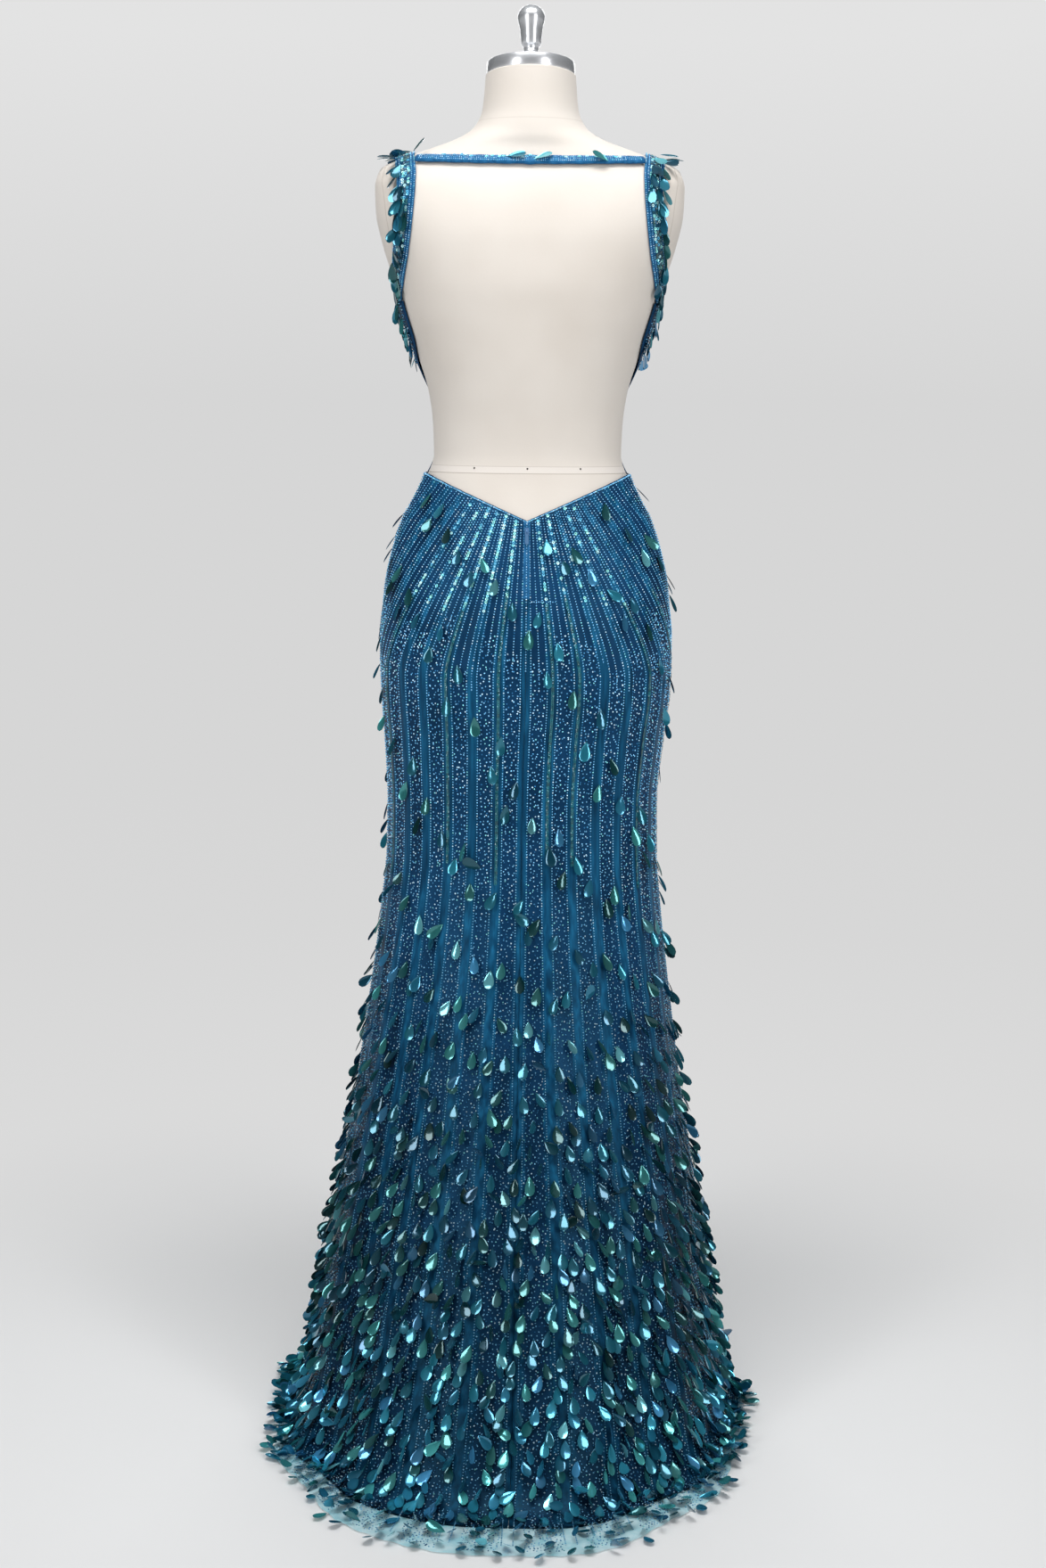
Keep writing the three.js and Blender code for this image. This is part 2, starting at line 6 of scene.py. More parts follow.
import bpy
import numpy as np
from mathutils import Euler, Matrix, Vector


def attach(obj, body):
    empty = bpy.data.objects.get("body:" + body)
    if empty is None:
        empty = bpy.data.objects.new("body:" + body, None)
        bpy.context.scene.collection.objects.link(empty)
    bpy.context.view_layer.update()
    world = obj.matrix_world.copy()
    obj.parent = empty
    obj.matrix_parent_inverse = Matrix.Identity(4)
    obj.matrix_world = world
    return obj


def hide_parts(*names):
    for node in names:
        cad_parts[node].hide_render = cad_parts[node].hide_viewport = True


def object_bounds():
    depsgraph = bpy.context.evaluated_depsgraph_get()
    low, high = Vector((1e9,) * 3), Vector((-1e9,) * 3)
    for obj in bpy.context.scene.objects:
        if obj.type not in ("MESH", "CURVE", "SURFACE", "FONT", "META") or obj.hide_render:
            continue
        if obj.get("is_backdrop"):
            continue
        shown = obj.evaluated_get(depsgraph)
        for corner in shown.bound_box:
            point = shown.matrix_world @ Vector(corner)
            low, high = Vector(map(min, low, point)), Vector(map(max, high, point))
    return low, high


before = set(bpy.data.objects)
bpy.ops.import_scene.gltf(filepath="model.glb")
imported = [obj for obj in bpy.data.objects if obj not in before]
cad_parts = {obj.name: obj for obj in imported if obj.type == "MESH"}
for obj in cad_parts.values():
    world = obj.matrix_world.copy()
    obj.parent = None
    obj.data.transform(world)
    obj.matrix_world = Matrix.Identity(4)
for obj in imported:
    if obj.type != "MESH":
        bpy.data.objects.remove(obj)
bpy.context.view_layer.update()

# The camera stands 3 m behind the gown at chest height and looks down a little, on a
# 55 mm lens, with the small tilt that the photograph has.
camera = bpy.data.objects.new("camera", bpy.data.cameras.new("camera"))
bpy.context.collection.objects.link(camera)
camera.data.sensor_width = 36
camera.data.lens = 55.36
camera.location = (0.002, 3.0, 1.26)
aim = Euler((np.radians(80.9), 0, np.pi)).to_matrix() @ Matrix.Rotation(np.radians(0.5), 3, "Z")
camera.rotation_euler = aim.to_euler()
bpy.context.scene.camera = camera
bpy.context.scene.view_settings.view_transform = "Standard"

# The studio: a pale paper floor that runs on into a pale backdrop, two tall soft boxes beside
# the camera, one overhead and one on the gown's far side. The room is dim, so that the film and
# the beads have something dark to mirror between the lights.
BACKDROP_LOW, BACKDROP_HIGH = "#D6D6D6", "#E3E3E3"
PAPER = "#E2E2E2"


def ink(code):
    """Linear RGBA of an sRGB hex colour. Each share s becomes ((s + 0.055) / 1.055) ** 2.4, or
    s / 12.92 where it is dark."""
    share = np.array([int(code[i : i + 2], 16) for i in (1, 3, 5)]) / 255
    linear = np.where(share > 0.04045, ((share + 0.055) / 1.055) ** 2.4, share / 12.92)
    return (*map(float, linear), 1.0)


def add(tree, kind, inputs=None, stops=(), **settings):
    """Adds a node with its settings, and with its inputs set to values or linked from other nodes'
    outputs. A colour ramp also gets its stops, each a place and a hex colour."""
    made = tree.nodes.new("ShaderNode" + kind)
    for name, value in settings.items():
        setattr(made, name, value)
    if stops:
        band = made.color_ramp.elements
        while len(band) < len(stops):
            band.new(0.5)
        for element, (place, code) in zip(band, stops):
            element.position, element.color = place, ink(code)
    for name, value in (inputs or {}).items():
        if isinstance(value, bpy.types.NodeSocket):
            tree.links.new(value, made.inputs[name])
        else:
            made.inputs[name].default_value = value
    return made


def new_material(name):
    """An empty material and its node tree."""
    made = bpy.data.materials.new(name)
    made.use_nodes = True
    made.node_tree.nodes.clear()
    return made, made.node_tree


def put_mesh(name, points, faces, uv=None, tint=None, smooth=True):
    """A mesh object from points in millimetres and an array of faces, one row of corner numbers each.
    uv and tint hold one row for each point. The object stays at the origin."""
    mesh = bpy.data.meshes.new(name)
    mesh.vertices.add(len(points))
    mesh.vertices.foreach_set("co", (np.asarray(points, np.float64) * 0.001).ravel())
    mesh.loops.add(faces.size)
    mesh.loops.foreach_set("vertex_index", faces.ravel().astype(np.int32))
    mesh.polygons.add(len(faces))
    mesh.polygons.foreach_set("loop_start", np.arange(len(faces), dtype=np.int32) * faces.shape[1])
    mesh.update(calc_edges=True)
    if uv is not None:
        layer = mesh.uv_layers.new(name="cloth")
        layer.data.foreach_set("uv", np.asarray(uv, np.float64)[faces.ravel()].ravel())
    if tint is not None:
        colours = mesh.color_attributes.new("tint", "FLOAT_COLOR", "POINT")
        colours.data.foreach_set("color", np.asarray(tint, np.float64).ravel())
    mesh.validate()
    if not smooth:
        mesh.shade_flat()
    made = bpy.data.objects.new(name, mesh)
    bpy.context.collection.objects.link(made)
    return made


def grid_faces(rows, cols, ring=False):
    """Four-sided faces of a grid whose columns run round and whose rows run down, seen from outside.
    ring joins the last column to the first."""
    row = np.arange(rows - 1)[:, None] * cols
    round_ = np.arange(cols if ring else cols - 1)[None, :]
    after = (round_ + 1) % cols
    corners = [row + round_, row + cols + round_, row + cols + after, row + after]
    return np.stack(corners, -1).reshape(-1, 4)


def put_grid(name, points, ring=False, uv=None):
    """A mesh object from a grid of points, with a grid of map places like it."""
    uv = None if uv is None else uv.reshape(-1, 2)
    return put_mesh(name, points.reshape(-1, 3), grid_faces(*points.shape[:2], ring), uv=uv)


def soft_box(name, place, target, size, watts):
    """An area light at a place, turned to a target, that the camera doesn't see."""
    data = bpy.data.lights.new(name, "AREA")
    data.shape = "RECTANGLE"
    data.size, data.size_y = size
    data.energy = watts
    made = bpy.data.objects.new(name, data)
    bpy.context.collection.objects.link(made)
    made.location = place
    toward = np.array(target, float) - np.array(place, float)
    flat = np.hypot(toward[0], toward[1])
    made.rotation_euler = (np.arctan2(flat, -toward[2]), 0, np.arctan2(-toward[0], toward[1]))
    made.visible_camera = False
    return made


turn, reach = np.meshgrid(np.linspace(0, 2 * np.pi, 97)[:-1], [0.001, 0.6, 1.2, 2.0, 3.0, 5.0, 60.0])
floor_points = np.stack([reach * np.sin(turn), reach * np.cos(turn), 0 * turn], -1) * 1000
floor = put_grid("studio_floor", floor_points, ring=True)
# Seamless paper is matt. Near the gown it takes the lamps' light and the gown's shadow, and from
# there on it fades into an even glow, as a lit backdrop does.
paper, tree = new_material("seamless studio paper")
place = add(tree, "TexCoord").outputs["Object"]
distance = add(tree, "VectorMath", {0: place}, operation="LENGTH").outputs["Value"]
far = add(
    tree, "MapRange", {"Value": distance, "From Min": 0.4, "From Max": 1.4}, interpolation_type="SMOOTHSTEP"
)
lit = add(tree, "BsdfDiffuse", {"Color": ink(PAPER)})
run_on = add(tree, "MapRange", {"Value": distance, "From Min": 0.5, "From Max": 5.0}).outputs["Result"]
fading = ((0.0, "#E1E1E1"), (0.12, "#DBDBDB"), (0.5, "#D7D7D7"), (1.0, BACKDROP_LOW))
away = add(tree, "ValToRGB", {"Fac": run_on}, fading).outputs["Color"]
away = add(tree, "Emission", {"Color": away})
sheet = add(tree, "MixShader", {0: far.outputs["Result"], 1: lit.outputs[0], 2: away.outputs[0]})
add(tree, "OutputMaterial", {"Surface": sheet.outputs[0]})
floor.data.materials.append(paper)
floor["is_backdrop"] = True

world = bpy.data.worlds.new("studio")
bpy.context.scene.world = world
world.use_nodes = True
tree = world.node_tree
tree.nodes.clear()
height = add(tree, "SeparateXYZ", {0: add(tree, "TexCoord").outputs["Generated"]})
share = add(tree, "MapRange", {"Value": height.outputs["Z"], "From Min": -1.0, "From Max": 1.0})
dim_room = ((0.3, "#6C7072"), (0.5, "#23282B"), (0.72, "#34393C"), (1.0, "#9A9D9F"))
room_colour = add(tree, "ValToRGB", {"Fac": share.outputs["Result"]}, dim_room).outputs["Color"]
room = add(tree, "Background", {"Color": room_colour, "Strength": 1.0})
backdrop = ((0.5, BACKDROP_LOW), (0.57, BACKDROP_HIGH))
sky = add(tree, "ValToRGB", {"Fac": share.outputs["Result"]}, backdrop).outputs["Color"]
seen = add(tree, "Background", {"Color": sky, "Strength": 1.0})
ray = add(tree, "LightPath").outputs["Is Camera Ray"]
either = add(tree, "MixShader", {0: ray, 1: room.outputs[0], 2: seen.outputs[0]})
add(tree, "OutputWorld", {"Surface": either.outputs[0]})

for side, name in ((1, "left"), (-1, "right")):
    soft_box("soft_box_" + name, (side * 2.3, 2.9, 2.0), (0, 0.1, 0.9), (0.8, 2.2), 46)
soft_box("soft_box_top", (0, 0.9, 3.4), (0, 0.15, 0.4), (2.2, 1.2), 62)
soft_box("soft_box_behind", (0, -3.0, 2.3), (0, 0, 1.0), (2.4, 1.6), 45)

# The form's body is a padded shell covered in cream linen, cut in panels with fine seams.
# A narrow tape, held by steel pins, marks the waist.
FORM = np.array([
    # z, half width, depth in front, depth behind, middle in Y, squareness of the outline
    (868, 172, 110, 112, 6, 2.2), (900, 175, 112, 117, 7, 2.2), (950, 176.5, 113, 118, 8, 2.2),
    (1020, 172, 112, 109, 7, 2.2), (1070, 163, 109, 98, 4, 2.2), (1114, 149, 102, 88, 0, 2.2),
    (1136, 137, 97, 84, -2, 2.15), (1160, 126, 92, 81, -4, 2.1), (1190, 115.5, 87, 79, -5, 2.1),
    (1225, 116.5, 88, 82, -5, 2.1), (1262, 121, 92, 88, -5, 2.15), (1315, 137, 103, 97, -5, 2.2),
    (1355, 152, 112, 102, -4, 2.3), (1395, 163, 109, 105, -2, 2.4), (1442, 178, 96, 103, 0, 2.6),
    (1480, 186, 80, 96, 2, 2.7), (1510, 187, 64, 84, 4, 2.7), (1531, 180, 50, 66, 6, 2.5),
    (1544, 152, 46, 56, 6, 2.3), (1556, 119, 47, 54, 5, 2.2), (1568, 87, 51, 56, 4, 2.1),
    (1581, 68, 52, 56, 3, 2), (1600, 58.5, 53, 55, 1, 2), (1620, 56, 54, 55, 0, 2),
    (1641, 54.5, 54.5, 54.5, 0, 2),
], float)
BUST_RISE, BUST_ANGLE, BUST_Z = 20, 37, 1350
NECK_FOOT, NECK_TOP, CAP_TILT = 1581, 1641, 8.5
# Heights of the tape's middle and of the neck seam, and half the tape's width, in metres.
TAPE_M, NECK_SEAM_M, TAPE_HALF_M = 1.1738, 1.588, 0.0042
PIN_ANGLES, PIN_Z, PIN_HEAD = (137.0, 180.0, -137.0), 1175.5, 1.3
LINEN, LINEN_SHADE, LINEN_SEAM = "#DAD3CB", "#D3CBC2", "#A69B8F"
TAPE, PIN_STEEL = "#DCD5CE", "#4E4A46"


def cubic(t, a, b, start, end):
    """The cubic that runs from a to b with slopes start and end:
    (2t^3 - 3t^2 + 1) a + (t^3 - 2t^2 + t) start + (3t^2 - 2t^3) b + (t^3 - t^2) end."""
    begun = (2 * t**3 - 3 * t**2 + 1) * a + (t**3 - 2 * t**2 + t) * start
    return begun + (3 * t**2 - 2 * t**3) * b + (t**3 - t**2) * end


def read(rows, column, at):
    """Smooth value of a column of a table at a key from its first column: cubic pieces whose slope at
    a row is the harmonic mean of the slopes on both sides, so that nothing overshoots."""
    keys, values = rows[:, 0], rows[:, column]
    rise = np.diff(values) / np.diff(keys)
    product = rise[:-1] * rise[1:]
    inner = np.where(product > 0, 2 * product / np.where(product > 0, rise[:-1] + rise[1:], 1), 0)
    slope = np.concatenate([rise[:1], inner, rise[-1:]])
    x = np.clip(at, keys[0], keys[-1])
    i = np.clip(np.searchsorted(keys, x, side="right") - 1, 0, len(keys) - 2)
    width = keys[i + 1] - keys[i]
    return cubic((x - keys[i]) / width, values[i], values[i + 1], slope[i] * width, slope[i + 1] * width)


def smoothstep(low, high, x):
    """0 at low, 1 at high, 3t^2 - 2t^3 between and level beyond. low may be the larger of the two."""
    t = np.clip((x - low) / (high - low), 0, 1)
    return t * t * (3 - 2 * t)


def outline(half, front, back, square, angle):
    """Distance from a section's middle to its outline, a rounded shape with
    (|sin a| / half) ^ square + (|cos a| / depth) ^ square = distance ^ -square."""
    turn = np.radians(angle)
    depth = np.where(np.cos(turn) > 0, front, back)
    total = (np.abs(np.sin(turn)) / half) ** square + (np.abs(np.cos(turn)) / depth) ** square
    return total ** (-1 / square)


def form_point(angle, z, ease=0.0):
    """A point of the form, or of cloth at an ease outside it: a rounded section with the bust's two
    soft bell-shaped rises added in front. Angle 0 is the centre front and 180 the centre back."""
    half, front, back = (read(FORM, i, z) + ease for i in (1, 2, 3))
    bust = BUST_RISE * np.exp(-(((np.abs(angle) - BUST_ANGLE) / 17) ** 2) - ((z - BUST_Z) / 42) ** 2)
    r = outline(half, front, back, read(FORM, 5, z), angle) + bust
    turn = np.radians(angle)
    return np.stack([r * np.sin(turn), read(FORM, 4, z) - r * np.cos(turn), z + 0 * turn], -1)


def unit(vectors):
    """Vectors of length one."""
    return vectors / np.linalg.norm(vectors, axis=-1, keepdims=True)


def dress(piece, material, node=None):
    """Finishes a visible piece, which rides on the gown's body: its material, and the CAD node
    that it stands for, if any."""
    piece.data.materials.append(material)
    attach(piece, "gown_on_form")
    if node:
        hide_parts(node)
    return piece


def plain_material(name, base, look):
    """A material of one principled shader, with its inputs by name. base is a hex colour, or "tint" for the
    colour that each copy in a joined mesh has of its own."""
    made, tree = new_material(name)
    colour = add(tree, "Attribute", attribute_name="tint").outputs["Color"] if base == "tint" else ink(base)
    shader = add(tree, "BsdfPrincipled", {"Base Color": colour, **look})
    add(tree, "OutputMaterial", {"Surface": shader.outputs[0]})
    return made


levels = np.concatenate([np.arange(868, 1500, 8), np.arange(1500, NECK_TOP, 4), [NECK_TOP]]).astype(float)
angle, level = np.meshgrid(np.linspace(-180, 180, 145)[:-1], levels[::-1])
body_points = form_point(angle, level)
lean = np.tan(np.radians(CAP_TILT)) * body_points[..., 1]
body_points[..., 2] += lean * smoothstep(NECK_FOOT, NECK_TOP, level)
top, foot = (row + (row.mean(0) - row) * 0.995 for row in (body_points[0], body_points[-1]))
body_points = np.stack([top, *body_points, foot])
level = np.concatenate([level[:1], level, level[-1:]])
form_body = put_grid("form_linen", body_points, ring=True, uv=np.stack([0 * level, level * 0.001], -1))

# A plain weave of cotton and linen is matt, with a faint fuzz and small slubs. The slubs are
# finer than a millimetre and are drawn about 4 mm apart, so that they show. Soft clouds about
# 110 mm across vary the tone, as handled cloth does. Seams are thin dark lines.
linen, tree = new_material("plain-woven cotton linen")
spot = add(tree, "TexCoord").outputs["Object"]
up = add(tree, "SeparateXYZ", {0: add(tree, "UVMap", uv_map="cloth").outputs[0]}).outputs["Y"]
slub = add(tree, "TexNoise", {"Vector": spot, "Scale": 260.0, "Detail": 3.0})
cloud = add(tree, "TexNoise", {"Vector": spot, "Scale": 9.0, "Detail": 2.0})
tone = add(tree, "ValToRGB", {"Fac": cloud.outputs["Fac"]}, ((0.3, LINEN_SHADE), (0.7, LINEN)))
taped = add(tree, "Math", {0: up, 1: TAPE_M, 2: TAPE_HALF_M}, operation="COMPARE")
marked = {"Factor": taped.outputs[0], 6: tone.outputs["Color"], 7: ink(TAPE)}
marked = add(tree, "Mix", marked, data_type="RGBA").outputs[2]
to_arm = add(tree, "Mapping", {"Vector": spot, "Location": (0, -0.04, -18.3), "Scale": (0.001, 19.0, 12.5)})
from_arm = add(tree, "VectorMath", {0: to_arm.outputs[0]}, operation="LENGTH").outputs["Value"]
for value, target, width, strength in (
    (up, TAPE_M - TAPE_HALF_M, 0.0004, 0.9), (up, TAPE_M + TAPE_HALF_M, 0.0003, 0.5),
    (up, NECK_SEAM_M, 0.0006, 0.2), (from_arm, 1.0, 0.014, 0.35),
):
    seam = add(tree, "Math", {0: value, 1: target, 2: width}, operation="COMPARE").outputs[0]
    drawn = add(tree, "Math", {0: seam, 1: strength}, operation="MULTIPLY").outputs[0]
    marked = add(tree, "Mix", {"Factor": drawn, 6: marked, 7: ink(LINEN_SEAM)}, data_type="RGBA").outputs[2]
weave = add(tree, "Bump", {"Strength": 0.12, "Distance": 0.0006, "Height": slub.outputs["Fac"]})
skin = add(tree, "BsdfPrincipled", {
    "Base Color": marked, "Roughness": 0.85, "Sheen Weight": 0.15, "Normal": weave.outputs[0],
})
add(tree, "OutputMaterial", {"Surface": skin.outputs[0]})
dress(form_body, linen, "form_body")

around, spoke = np.arange(12), np.linspace(0, 2 * np.pi, 13)[:-1]
rim = PIN_HEAD * np.stack([np.cos(spoke), np.sin(spoke), 0 * spoke], -1)
HEAD = np.concatenate([[(0, 0, 1.1)], rim, [(0, 0, -0.3)]])
outer = np.stack([0 * around, 1 + around, 1 + (around + 1) % 12], -1)
HEAD_FACES = np.concatenate([outer, np.stack([13 + 0 * around, outer[:, 2], outer[:, 1]], -1)])
pin_at = form_point(np.array(PIN_ANGLES), np.full(3, PIN_Z))
pin_points = pin_at[:, None, :] + HEAD[None][..., [0, 2, 1]] * [-1, 1, 1]
pin_faces = HEAD_FACES[None] + len(HEAD) * np.arange(3)[:, None, None]
pins = put_mesh("tape_pins", pin_points.reshape(-1, 3), pin_faces.reshape(-1, 3))
# Blued steel is dark, with a soft gleam.
steel = plain_material("blued steel pin", PIN_STEEL, {"Metallic": 0.8, "Roughness": 0.4})
dress(pins, steel)

# The neck cap and its knob are turned and polished brass under chrome plate, and lean to
# the front with the neck. The stand is a steel pole on a pressed base, sprayed grey.
CHROME, IRON = "#D3D5D8", "#B9BCC0"
CAP_PROFILE = [
    # radius and height
    (0, 24), (14, 24), (24, 23), (34, 21), (43, 18.4), (48, 17), (51.5, 16), (52.6, 15.4), (53, 14.5),
    (53, 1.2), (52.4, 0), (0, 0),
]
KNOB_PROFILE = [
    # radius and height
    (0, 62), (3, 61.8), (6.5, 60.8), (10.5, 58.6), (13.6, 55.6), (15.6, 52), (16.5, 48), (16.4, 45),
    (15.7, 42), (14.3, 36), (13.4, 31), (13.2, 27), (12.4, 21), (12, 15), (11, 13), (9, 11), (9, 5),
    (10.6, 4.4), (11, 3), (11, 0), (0, 0),
]


def turned(profile, steps, base):
    """A turned piece: a profile of (radius, height) carried round its axis, which leans with the neck
    and rises from a height above the neck's top."""
    turn, _ = np.meshgrid(np.linspace(0, 2 * np.pi, steps + 1)[:-1], np.zeros(len(profile)))
    radius, up = (np.array(profile, float)[:, i, None] + 0 * turn for i in (0, 1))
    lean = np.radians(CAP_TILT)
    x, y, z = radius * np.sin(turn), -radius * np.cos(turn), up + base
    up = NECK_TOP + 0.3 + y * np.sin(lean) + z * np.cos(lean)
    return np.stack([x, y * np.cos(lean) - z * np.sin(lean), up], -1)


# Chrome plate mirrors the lamps and the pale floor, softened by fine wear.
chrome = plain_material("chrome plate", CHROME, {"Metallic": 0.72, "Roughness": 0.27})
for name, profile, base in (("neck_cap", CAP_PROFILE, 0.0), ("neck_knob", KNOB_PROFILE, 24.3)):
    piece = put_grid(name + "_turned", turned(profile, 72, base), ring=True)
    dress(piece, chrome, name)


def repaint(material, *names):
    """Gives a material to CAD nodes that are shown as they are."""
    for name in names:
        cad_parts[name].data.materials.clear()
        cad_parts[name].data.materials.append(material)


# Sprayed paint has a satin face with fine pits, drawn 2.5 mm apart so that they show.
iron, tree = new_material("grey sprayed steel")
grain = add(tree, "TexNoise", {"Vector": add(tree, "TexCoord").outputs["Object"], "Scale": 400.0})
pitted = add(tree, "Bump", {"Strength": 0.1, "Distance": 0.0004, "Height": grain.outputs["Fac"]})
paint = add(tree, "BsdfPrincipled", {
    "Base Color": ink(IRON), "Metallic": 0.6, "Roughness": 0.45, "Normal": pitted.outputs[0],
})
add(tree, "OutputMaterial", {"Surface": paint.outputs[0]})
repaint(iron, "stand_pole", "stand_base")

# The skirt is three fan-shaped panels of fine net over an opaque satin lining. Thirty strips
# of beads run down it, with plain satin bands between them. Behind, the strips are gathered
# toward the foot of the open back, and the net is cut longer than the lining at the hem.
EASE, WAIST_Z, BACK_V_Z, BACK_V_SLOPE = 3.6, 1169, 1114, 0.44
GATHER_FOOT, GATHER_POINT = 925, 1230
STRIPS, BAND = 30, 12.5
LINING_END, NET_END = -38, -104
CLOTH_WALL, RIDGE, SEAM_SHARE = 0.0014, 0.6, 0.00015
SKIRT = np.array([
    # station, z in front, z behind, half width, front, back, middle, squareness, sway, flute
    (-105, 0.5, 2, 291, 335, 410, 110, 2.15, 13, 7), (-60, 9, 2, 284, 323, 373, 101, 2.12, 12, 6),
    (-10, 20, 2, 277, 309, 337, 92, 2.1, 11, 7), (16, 33, 17, 270, 293, 325, 80, 2.1, 10, 7),
    (46, 50, 46, 262, 278, 314, 70, 2.1, 9, 6.5), (90, 90, 90, 254, 260, 296, 62, 2.1, 8, 6),
    (160, 160, 160, 242.5, 235, 268, 53, 2.1, 7.5, 5), (240, 240, 240, 229.5, 210, 238, 44, 2.1, 7, 4),
    (320, 320, 320, 217, 186, 210, 35, 2.1, 6, 3.2), (400, 400, 400, 204, 163, 185, 26, 2.1, 5.5, 2.5),
    (480, 480, 480, 193.5, 144, 162, 18, 2.1, 5, 1.8), (560, 560, 560, 183, 129, 141, 12, 2.1, 4, 1),
    (640, 640, 640, 174, 118, 125, 8, 2.1, 3.5, 0.4), (700, 700, 700, 169, 114, 118, 6, 2.1, 3, 0),
    (767, 767, 767, 168, 113, 115, 6, 2.15, 3, 0), (840, 840, 840, 173, 113.5, 115, 6, 2.2, 1.5, 0),
    *[
        (z, z, z, half + EASE, front + EASE, back + EASE, middle, square, 0, 0)
        for z, half, front, back, middle, square in FORM[1:9]
    ],
], float)


def skirt_point(angle, station, out=0.0):
    """A point of the skirt's outer face: the rounded section at that station, with soft flutes of
    0.6 cos(9a + 0.8 sin 2a + 1.1) + 0.4 cos(14a + 2) added, swayed to the side, and lowered behind."""
    half, front, back, mid, square, sway, flute = (read(SKIRT, i, station) for i in range(3, 10))
    turn = np.radians(angle)
    wave = 0.6 * np.cos(9 * turn + 0.8 * np.sin(2 * turn) + 1.1) + 0.4 * np.cos(14 * turn + 2)
    r = outline(half, front, back, square, angle) + flute * wave + out
    on_floor = smoothstep(30, 100, np.abs(angle))
    z = read(SKIRT, 1, station) * (1 - on_floor) + read(SKIRT, 2, station) * on_floor
    return np.stack([r * np.sin(turn) + sway, mid - r * np.cos(turn), z], -1)


# How far round the section each share of its girth lies, for every fifth millimetre of station.
# A share runs from 0 at the centre back over 0.25 at the side seam to 0.5 at the centre front.
LEVELS = np.arange(-105, 1191, 5.0)
SHARES = np.linspace(0, 0.5, 201)
fine = np.linspace(180, 0, 721)
GIRTH, ANGLES = [], []
for station in LEVELS:
    half, front, back, mid, square = (read(SKIRT, i, station) for i in range(3, 8))
    r = outline(half, front, back, square, fine)
    steps = np.hypot(np.diff(r * np.sin(np.radians(fine))), np.diff(r * np.cos(np.radians(fine))))
    length = np.concatenate([[0], np.cumsum(steps)])
    at_side, whole = length[360], length[-1]
    GIRTH.append(2 * whole)
    ANGLES.append(np.interp(SHARES, np.interp(length, [0, at_side, whole], [0, 0.25, 0.5]), fine))
GIRTH, ANGLES = np.array(GIRTH), np.array(ANGLES)


def girth(station):
    """The skirt's girth at a station."""
    return np.interp(station, LEVELS, GIRTH)


def from_table(values, share, station):
    """A table of LEVELS by SHARES read between four of its values, for shares on both sides of the
    centre back."""
    row = np.clip((station - LEVELS[0]) / 5, 0, len(LEVELS) - 1.001)
    col = np.clip(np.abs(share) * 400, 0, 199.999)
    i, j = row.astype(int), col.astype(int)
    u, v = row - i, col - j
    upper = values[i, j] * (1 - v) + values[i, j + 1] * v
    lower = values[i + 1, j] * (1 - v) + values[i + 1, j + 1] * v
    return np.where(share < 0, -1, 1) * (upper * (1 - u) + lower * u)


def gathered(line, station):
    """The share of the girth where a line of the pattern lies. Lines keep their share up to the hips.
    Above, those near the centre back run straight to a point over the open back, and those in front
    keep theirs."""
    t = np.clip((station - GATHER_FOOT) / (GATHER_POINT - GATHER_FOOT), 0, 1)
    closing = t * t * 1.1 / (t + 0.1)
    straight = (1 - closing) * girth(GATHER_FOOT) / girth(station)
    near_back = (1 - smoothstep(0.16, 0.5, np.abs(line))) * (t > 0)
    return line * (1 + near_back * (straight - 1))


LINES = np.array([np.interp(SHARES, gathered(SHARES, station), SHARES) for station in LEVELS])


def skirt_top(share):
    """The station of the top edge at a share of the girth: level in front, and behind it the V's slope
    times the distance to the side, found by a dozen rounds of trying."""
    z = np.full(np.shape(share), float(WAIST_Z))
    for _ in range(12):
        x = np.abs(skirt_point(from_table(ANGLES, share, z), z)[..., 0])
        z = np.where(np.abs(share) < 0.25, np.minimum(WAIST_Z, BACK_V_Z + BACK_V_SLOPE * x), WAIST_Z)
    return z


def strip_half(station):
    """Half a bead strip's width, as a share of the space from strip to strip: the plain bands between
    strips stay about 12 mm wide lower down, and take half the space higher up."""
    return np.maximum(0.25, 0.5 - BAND / 2 / (girth(station) / STRIPS))


def skirt_face(share, station, out=0.0):
    """The skirt's outer face at a share of the girth, with the plain bands proud as soft ridges."""
    line = from_table(LINES, share, station)
    ridge = RIDGE * np.cos(2 * np.pi * STRIPS * line)
    ridge = ridge * smoothstep(-105, 60, station) * (1 - 0.5 * smoothstep(960, 1050, station))
    return skirt_point(from_table(ANGLES, share, station), station, ridge + out)


def face_axes(face, share, station, step):
    """Unit vectors at points of a face, across, down and outward, from the face's own slopes. The share
    falls by step to one side and rises by it to the other."""
    down = unit(face(share, station - 1) - face(share, station + 1))
    round_ = face(share - step, station) - face(share + step, station)
    out = unit(np.cross(down, round_))
    return np.stack([np.cross(down, out), down, out])


def walled(piece, thickness):
    """Gives the outer face of a cloth its thickness in metres, toward the inside."""
    wall = piece.modifiers.new("wall", "SOLIDIFY")
    wall.thickness, wall.offset = thickness, -1
    return piece


def skirt_panel(name, first, last):
    """A panel's outer face as a grid of shares of the girth by rows from its top edge to the lining's hem,
    with a wall inside it. Its map holds the pattern line, counted in strips, and the station in metres.
    It stops a hair short of each seam."""
    count = int(round((last - first) * STRIPS * 8)) + 1
    share = np.linspace(last - SEAM_SHARE, first + SEAM_SHARE, count)[None, :]
    top = skirt_top(share)
    station = top + (LINING_END - top) * np.linspace(0, 1, 150)[:, None]
    share = share + 0 * station
    wrapped = (share + 0.5) % 1 - 0.5
    points = skirt_face(wrapped, station)
    points[..., 2] = np.maximum(points[..., 2], 1.6)
    line = from_table(LINES, wrapped, station)
    line = np.where(share > 0.5, 1 + line, line)
    made = put_grid("skirt_%s_cloth" % name, points, uv=np.stack([line * STRIPS, station * 0.001], -1))
    return dress(walled(made, CLOTH_WALL), cloth, "skirt_" + name)


